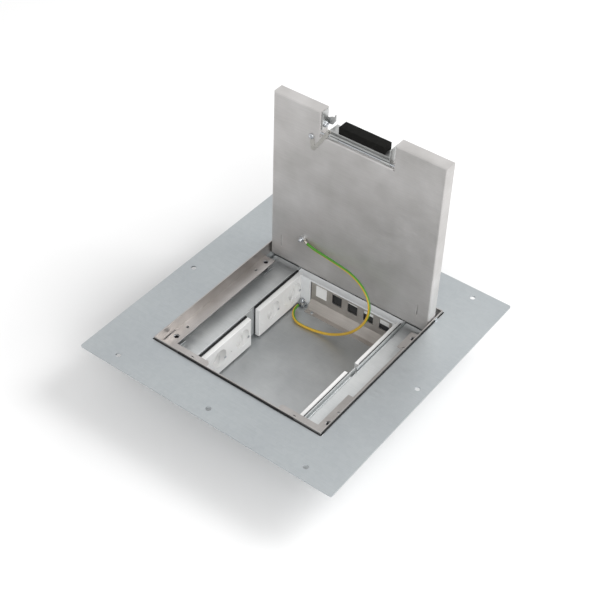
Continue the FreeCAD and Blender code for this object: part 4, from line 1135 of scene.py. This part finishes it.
    def on_floor(self) -> None:
        """Stud, lug and nut on the seat at the tub's floor."""
        low, high, seat = node_box("floor_stud")
        seat.z = low.z
        stud = Shape().add(thread(self.stud_radius, self.pitch, high.z - low.z), facing(seat, UP))
        make_fastener("floor_threaded_stud", stud, Body.BOX, "floor_stud")
        low, high, _ = node_box("floor_earth_nut")
        seat.z = low.z
        nut = hex_nut(self.nut_across, high.z - low.z, self.nut_bore)
        at = facing(seat, UP, self.floor_nut_turn)
        make_fastener("floor_hex_nut", Shape().add(nut, at), Body.BOX, "floor_earth_nut")
        seat.z = low.z - self.palm
        lug = Shape().add(self.lug(), facing(seat, UP, self.floor_lug_turn))
        make_piece("floor_crimped_lug", lug, TINNED_COPPER, Body.BOX, "earth_lug_floor")


@dataclass
class EarthWire:
    """Green and yellow earth wire from the lid's lug to the lug on the tub floor."""

    route: tuple[Triple, ...] = (
        (-0.0939, 0.1432, 0.1701), (-0.0800, 0.1432, 0.1648), (-0.0530, 0.1420, 0.1630),
        (-0.0170, 0.1365, 0.1639), (0.0215, 0.1300, 0.1645), (0.0570, 0.1210, 0.1530),
        (0.0790, 0.1115, 0.1285), (0.0765, 0.1050, 0.0915), (0.0465, 0.1025, 0.0460),
        (0.0000, 0.1030, 0.0130), (-0.0340, 0.0995, 0.0058), (-0.0600, 0.0965, 0.0052),
        (-0.0785, 0.0973, 0.0054), (-0.0900, 0.1023, 0.0070), (-0.0980, 0.1105, 0.0098),
        (-0.1020, 0.1215, 0.0124), (-0.1020, 0.1328, 0.0126))
    diameter: float = 0.0056
    length: float = 0.4615
    steps: int = 10
    segments: int = 24
    bend_from: Triple = (0.0, 0.110, 0.020)
    bend_to: Triple = (0.0, 0.140, 0.168)

    def middle_line(self) -> list[Vector]:
        """Points along the smooth line that the route gives.

        Returns:
            The points in metres.
        """
        curve = bpy.data.curves.new("earth_wire_route", "CURVE")
        curve.dimensions = "3D"
        spline = curve.splines.new("NURBS")
        spline.points.add(len(self.route) - 1)
        for point, place in zip(spline.points, self.route):
            point.co = (*place, 1.0)
        spline.order_u = 3
        spline.use_endpoint_u = True
        spline.resolution_u = self.steps
        carrier = bpy.data.objects.new("earth_wire_route", curve)
        line = bpy.data.meshes.new_from_object(carrier)
        points = [vertex.co.copy() for vertex in line.vertices]
        bpy.data.objects.remove(carrier)
        bpy.data.curves.remove(curve)
        bpy.data.meshes.remove(line)
        return points

    def build(self) -> None:
        """Make the wire."""
        path = self.middle_line()
        wire = new_object("earth_wire_sheath", sweep(path, self.diameter / 2, self.segments), EARTH_PVC)
        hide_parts("earth_wire")
        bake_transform(wire)


@dataclass
class SocketModules:
    """Four double-socket modules: covers, inserts, contacts' clips and screws, in millimetres.

    The profiles of the insert give each corner's distance outward and upward: the rim from the
    recess's mouth, the fillet from its floor and the entry from a pin's hole.
    """

    faces: Pair = (108.8, 111.3)
    centres: Pair = (-78.5, 88.5)
    middle_z: float = 40.0
    lift: float = 3.0
    shift: float = -9.0
    half_pitch: float = 34.25
    recess_radius: float = 19.5
    recess_play: float = 0.05
    recess_deep: float = 15.0
    rim: Profile = ((0.0, -0.2), (0.0, -2.6), (-0.8, -2.6), (-0.5, -0.2))
    fillet: Profile = ((0.0, 0.02), (0.0, 1.6), (-1.6, 0.9), (-1.6, 0.02))
    entry: Profile = ((0.05, 0.02), (0.05, 0.35), (0.55, 0.75), (1.35, 0.75),
                                              (1.75, 0.02))
    pin_half_pitch: float = 9.5
    pin_radius: float = 2.5
    clip_bow: Profile = ((0.0, 0.0), (0.5, 0.9), (0.9, 2.5), (1.5, 4.5), (1.9, 6.0),
                                                 (1.8, 7.2), (1.2, 8.2), (0.6, 8.7))
    clip_thick: float = 0.7
    clip_wide: float = 5.8
    clip_in: float = 0.5
    clip_up: float = 0.1
    screw_places: Profile = ((-9.0, -5.0), (61.0, -5.0))
    screw_head: Triple = (5.5, 1.2, 3.2)
    screw_turn: float = 0.4

    def modules(self) -> Iterable[tuple[str, Matrix]]:
        """Name of each module and the frame of its face, with local Z out of the face."""
        for row, face, centre in zip(("front", "rear"), self.faces, self.centres):
            for hand, side in (("left", -1), ("right", 1)):
                origin = Vector((side * face, centre, self.middle_z))
                yield f"{row}_{hand}", lying(origin, -side * INWARD, -side * SIDEWAYS)

    def dress(self) -> None:
        """Give the modules' own nodes their finishes."""
        for name, _ in self.modules():
            dress(WHITE_MOULDED, f"socket_cover_{name}")
            dress(EPDM, f"socket_gasket_{name}")
            dress(BLACK_MOULDED, f"socket_contacts_{name}")
        dress(WHITE_MOULDED, "data_blank")

    def insert(self) -> Shape:
        """Inside of a recess: a rim step, a floor fillet and the dished entries of the pins.

        Returns:
            The insert, with local Z out of the face.
        """
        outer = self.recess_radius - self.recess_play
        shape = Shape().add(turned_ring(self.rim, outer))
        shape.add(turned_ring(self.fillet, outer, -self.recess_deep))
        for side in (-1, 1):
            shape.add(turned_ring(self.entry, self.pin_radius, segments=40),
                      Matrix.Translation((side * self.pin_half_pitch, 0, -self.recess_deep)))
        return shape

    def build(self) -> None:
        """Make the inserts, clips and cover screws of every module."""
        clips, screws = Shape(), Shape()
        for name, place in self.modules():
            inserts = Shape()
            for k in (-1, 1):
                socket = place @ Matrix.Translation((self.shift - k * self.half_pitch, self.lift, 0))
                inserts.add(self.insert(), socket)
                for turn in (90, -90):
                    at = socket @ Matrix.Rotation(math.radians(turn), 4, "Z") @ Matrix.Translation(
                        (self.clip_in - self.recess_radius, 0, self.clip_up - self.recess_deep))
                    clips.add(strip(self.clip_bow, self.clip_thick, self.clip_wide), at)
            make_piece(f"socket_inserts_{name}", inserts, WHITE_MOULDED, Body.BOX)
            for i, (x, y) in enumerate(self.screw_places):
                at = place @ Matrix.Translation((x, y, 0)) @ Matrix.Rotation(self.screw_turn + i, 4, "Z")
                screws.add(cross_head(*self.screw_head, segments=36, rows=10), at)
        make_piece("bowed_earth_clips", clips, NICKEL_BRASS, Body.BOX, "earth_clips")
        make_fastener("cover_pan_screws", screws, Body.BOX, "cover_screws")


@dataclass
class DataOutletsAndPortLight:
    """Black outlet bodies behind the open ports, their black also painted shade for the dark depth of each
    opening, and a white plate part way down each port, painted light for the lit wall seen through it; in
    millimetres.
    """

    port_x: tuple[float, ...] = (-25.8, 11.5, 48.8, 86.1)
    # Share of each port's height, from the top, that its white plate covers: painted light that grows to the
    # right, as the lit wall shows through the ports.
    painted_light_share: tuple[float, ...] = (0.08, 0.16, 0.34, 0.5)
    half_wide: float = 11.3
    low: float = 37.7
    high: float = 62.3
    panel_back: float = 157.55
    light_plate_thick: float = 0.8
    light_plate_edge: float = 0.3
    body_deep: float = 7.0
    body_edge: float = 0.5
    play: float = 0.1

    def block(self, x: float, front: float, thick: float, low: float, edge: float) -> Shape:
        """Rounded block as wide as a port.

        Args:
            x: Middle of the port.
            front: Y of its front face.
            thick: Its size along Y.
            low: Its lower edge.
            edge: Radius of its edges.

        Returns:
            The block, in metres.
        """
        corners = (x - self.half_wide, front, low), (x + self.half_wide, front + thick, self.high)
        return Shape().add(rounded_block(*corners, edge, steps=2, cell=30.0), Matrix.Scale(MM, 4))

    def build(self) -> None:
        """Make the black outlet bodies, also painted shade, and the white plates of painted light behind the
        four open ports.
        """
        outlet_bodies_and_shade, painted_light_plates = Shape(), Shape()
        front = self.panel_back + self.light_plate_thick + self.play
        for x, share in zip(self.port_x, self.painted_light_share):
            outlet_bodies_and_shade.add(self.block(x, front, self.body_deep, self.low, self.body_edge))
            edge = self.high - share * (self.high - self.low)
            painted_light_plates.add(self.block(x, self.panel_back, self.light_plate_thick, edge, self.light_plate_edge))
        make_piece("data_outlet_bodies_and_painted_shade", outlet_bodies_and_shade, BLACK_MOULDED, Body.BOX)
        make_piece("data_port_painted_light", painted_light_plates, WHITE_MOULDED, Body.BOX)


@dataclass
class CablePad:
    """Rubber pad on the cable flap, in millimetres."""

    edge: float = 1.2
    cell: float = 4.0
    setback: float = 0.22
    waves: float = 0.18
    wave_pace: float = 0.12
    face_from: float = 0.85

    def build(self) -> None:
        """Make the pad with soft cut edges and slightly uneven faces."""
        low, high, centre = node_box("flap_pad")
        shape = rounded_block(low, high, self.edge, cell=self.cell)
        half = (high - low) / 2
        points = []
        for point in shape.points:
            pull = noise.noise(point * self.wave_pace) * self.waves + self.setback
            inward = Vector([-math.copysign(pull * (abs(o / h) > self.face_from), o)
                             for o, h in zip(point - centre, half)])
            points.append((point + inward) * MM)
        pad = make_piece("cable_pad_foam", Shape(points, shape.faces), CELL_RUBBER, Body.FLAP,
                         "flap_pad")


@dataclass
class Grommets:
    """Rubber grommets in the tub's knock-outs, in millimetres."""

    pitch: float = 90.0
    height: float = 52.0
    wall_x: float = 190.0
    wall_y: float = 196.0
    sheet: float = 2.0
    hole_radius: float = 12.35
    lip_radius: float = 15.3

    def grommet(self) -> Shape:
        """Lipped grommet with a stepped membrane, its local Z outward from the tub.

        Its profile runs from the middle of the inner face round the rim to the middle of the outer face.

        Returns:
            The grommet, with local Z = 0 on the wall's inner face.
        """
        hole, lip, sheet = self.hole_radius, self.lip_radius, self.sheet
        return lathe([(0, 0.3), (4, 0.3), (4.6, 0.0), (hole - 0.6, 0.0), (hole, 0.4), (hole, sheet),
                      (lip - 0.3, sheet), (lip, sheet + 0.4), (lip, sheet + 1.3), (lip - 0.7, sheet + 1.95),
                      (hole - 0.5, sheet + 1.95), (hole - 1.4, sheet + 1.0), (9.5, sheet + 1.0),
                      (9.1, sheet + 1.5), (7.0, sheet + 1.5), (6.6, sheet + 1.0), (4.4, sheet + 1.0),
                      (4.0, sheet + 1.6), (1.0, sheet + 1.8), (0, sheet + 1.8)], segments=48)

    def build(self) -> None:
        """Make all ten grommets as one piece."""
        shape = Shape()
        for side in (-1, 1):
            for step in (-1, 0, 1):
                at = facing((step * self.pitch, side * self.wall_y, self.height), (0, side, 0))
                shape.add(self.grommet(), at)
            for step in (-0.5, 0.5):
                at = facing((side * self.wall_x, step * self.pitch, self.height), (side, 0, 0))
                shape.add(self.grommet(), at)
        make_piece("stepped_grommets", shape, EPDM, Body.BOX, "knockout_grommets")


# Stage


@dataclass(frozen=True)
class SoftBox:
    """Square lamp, pointed at the middle of the tub."""

    name: str
    place: Triple
    size: float
    watts: float
    target: Triple = (0.0, 0.0, 0.1)

    def hang(self) -> None:
        """Put the lamp in its place."""
        data = bpy.data.lights.new(self.name, "AREA")
        data.shape = "SQUARE"
        data.size = self.size
        data.energy = self.watts
        lamp = bpy.data.objects.new(self.name, data)
        lamp.location = self.place
        lamp.rotation_euler = (Vector(self.target) - Vector(self.place)).to_track_quat("-Z", "Y").to_euler()
        bpy.context.scene.collection.objects.link(lamp)


@dataclass
class Studio:
    """Pale floor, soft lamps and the camera of the photograph, whose place is in millimetres."""

    azimuth: float = 35.471
    elevation: float = 42.785
    roll: float = 2.153
    focal_pixels: float = 1315.4
    image_pixels: float = 600.0
    sensor: float = 36.0
    across: float = -1.057
    up: float = 46.940
    distance: float = 2430.70
    plate_top: float = 117.0
    view_end: float = 100.0
    floor_colour: str = "F2F2F2"
    floor_size: float = 12.0
    # Floor colour that the camera sees near the box and far from it, and the distances in metres over which
    # it changes; the darker colour near the box is painted shade that deepens its shadow.
    seen_shade_levels: Pair = (0.83, 1.0)
    seen_shade_reach: Pair = (0.45, 0.85)
    ambient: float = 0.68
    lamps: tuple[SoftBox, ...] = (SoftBox("key_softbox", (1.6, 1.5, 2.6), 1.6, 62.0),
                                  SoftBox("side_softbox", (2.1, -1.75, 1.7), 1.8, 54.0))

    def camera(self) -> None:
        """Set the camera at the photograph's place."""
        a, e, r = (math.radians(v) for v in (self.azimuth, self.elevation, self.roll))
        back = Vector((math.sin(a) * math.cos(e), -math.cos(a) * math.cos(e), math.sin(e)))
        level = Vector((math.cos(a), math.sin(a), 0))
        upright = back.cross(level)
        right = level * math.cos(r) + upright * math.sin(r)
        upward = upright * math.cos(r) - level * math.sin(r)
        place = right * self.across + upward * self.up + back * self.distance
        place.z += self.plate_top
        data = bpy.data.cameras.new("photo_camera")
        data.sensor_width = self.sensor
        data.lens = self.focal_pixels / self.image_pixels * self.sensor
        data.clip_end = self.view_end
        camera = bpy.data.objects.new("photo_camera", data)
        axes = Matrix((right, upward, back)).transposed().to_4x4()
        camera.matrix_world = Matrix.Translation(place * MM) @ axes
        bpy.context.scene.collection.objects.link(camera)
        bpy.context.scene.camera = camera

    def world(self) -> None:
        """White surroundings for the camera and for gloss, and a softer level of light for the rest."""
        world = bpy.data.worlds.new("studio_world")
        bpy.context.scene.world = world
        world.use_nodes = True
        tree = world.node_tree
        tree.nodes.clear()
        rays = add_node(tree, "ShaderNodeLightPath").outputs
        seen = reckon(tree, "MAXIMUM", rays["Is Camera Ray"], rays["Is Transmission Ray"])
        shown = reckon(tree, "MAXIMUM", seen, rays["Is Glossy Ray"])
        strength = stretch(tree, shown, self.ambient, 1.0, 0.0, 1.0)
        light = add_node(tree, "ShaderNodeBackground", {"Color": linear("FFFFFF"), "Strength": strength})
        add_node(tree, "ShaderNodeOutputWorld", {"Surface": light.outputs["Background"]})

    def floor(self) -> None:
        """Lay a pale floor under the tub; for the camera its colour is darker near the box, painted shade
        that deepens the box's shadow, and paler away from it.
        """
        half = self.floor_size / 2
        mesh = bpy.data.meshes.new("studio_floor")
        mesh.from_pydata([(-half, -half, 0), (half, -half, 0), (half, half, 0), (-half, half, 0)], [],
                         [(0, 1, 2, 3)])
        floor = bpy.data.objects.new("studio_floor", mesh)
        bpy.context.scene.collection.objects.link(floor)
        material = bpy.data.materials.new("paper_matt_white")
        material.use_nodes = True
        tree = material.node_tree
        tree.nodes.clear()
        rays = add_node(tree, "ShaderNodeLightPath").outputs
        plain = add_node(tree, "ShaderNodeBsdfDiffuse", {"Color": linear(self.floor_colour)})
        place = add_node(tree, "ShaderNodeTexCoord").outputs["Object"]
        away = add_node(tree, "ShaderNodeVectorMath", {0: place}, operation="LENGTH").outputs["Value"]
        # Darker near the box for the camera: painted shade deepening the box's shadow.
        level = stretch(tree, away, *self.seen_shade_levels, *self.seen_shade_reach)
        seen = add_node(tree, "ShaderNodeBsdfDiffuse", {"Color": level})
        mix = add_node(tree, "ShaderNodeMixShader", {
            0: rays["Is Camera Ray"], 1: plain.outputs[0], 2: seen.outputs[0]})
        add_node(tree, "ShaderNodeOutputMaterial", {"Surface": mix.outputs[0]})
        mesh.materials.append(material)

    def build(self) -> None:
        """Make the camera, the floor, the surroundings and the lamps."""
        self.camera()
        self.world()
        self.floor()
        for lamp in self.lamps:
            lamp.hang()
        bpy.context.scene.view_settings.view_transform = "Standard"


def main() -> None:
    """Build every piece in order."""
    logging.basicConfig(level=logging.INFO, format="%(message)s")
    Studio().build()
    EarthWire().build()
    sheets = Sheetwork()
    sheets.dress()
    sheets.welds()
    modules = SocketModules()
    modules.dress()
    modules.build()
    fasteners = Fasteners()
    fasteners.levelling()
    fasteners.sheet_screws()
    fasteners.lid_screws()
    points = EarthPoints()
    points.on_lid()
    points.on_floor()
    DataOutletsAndPortLight().build()
    CablePad().build()
    Grommets().build()


if __name__ == "__main__":
    main()
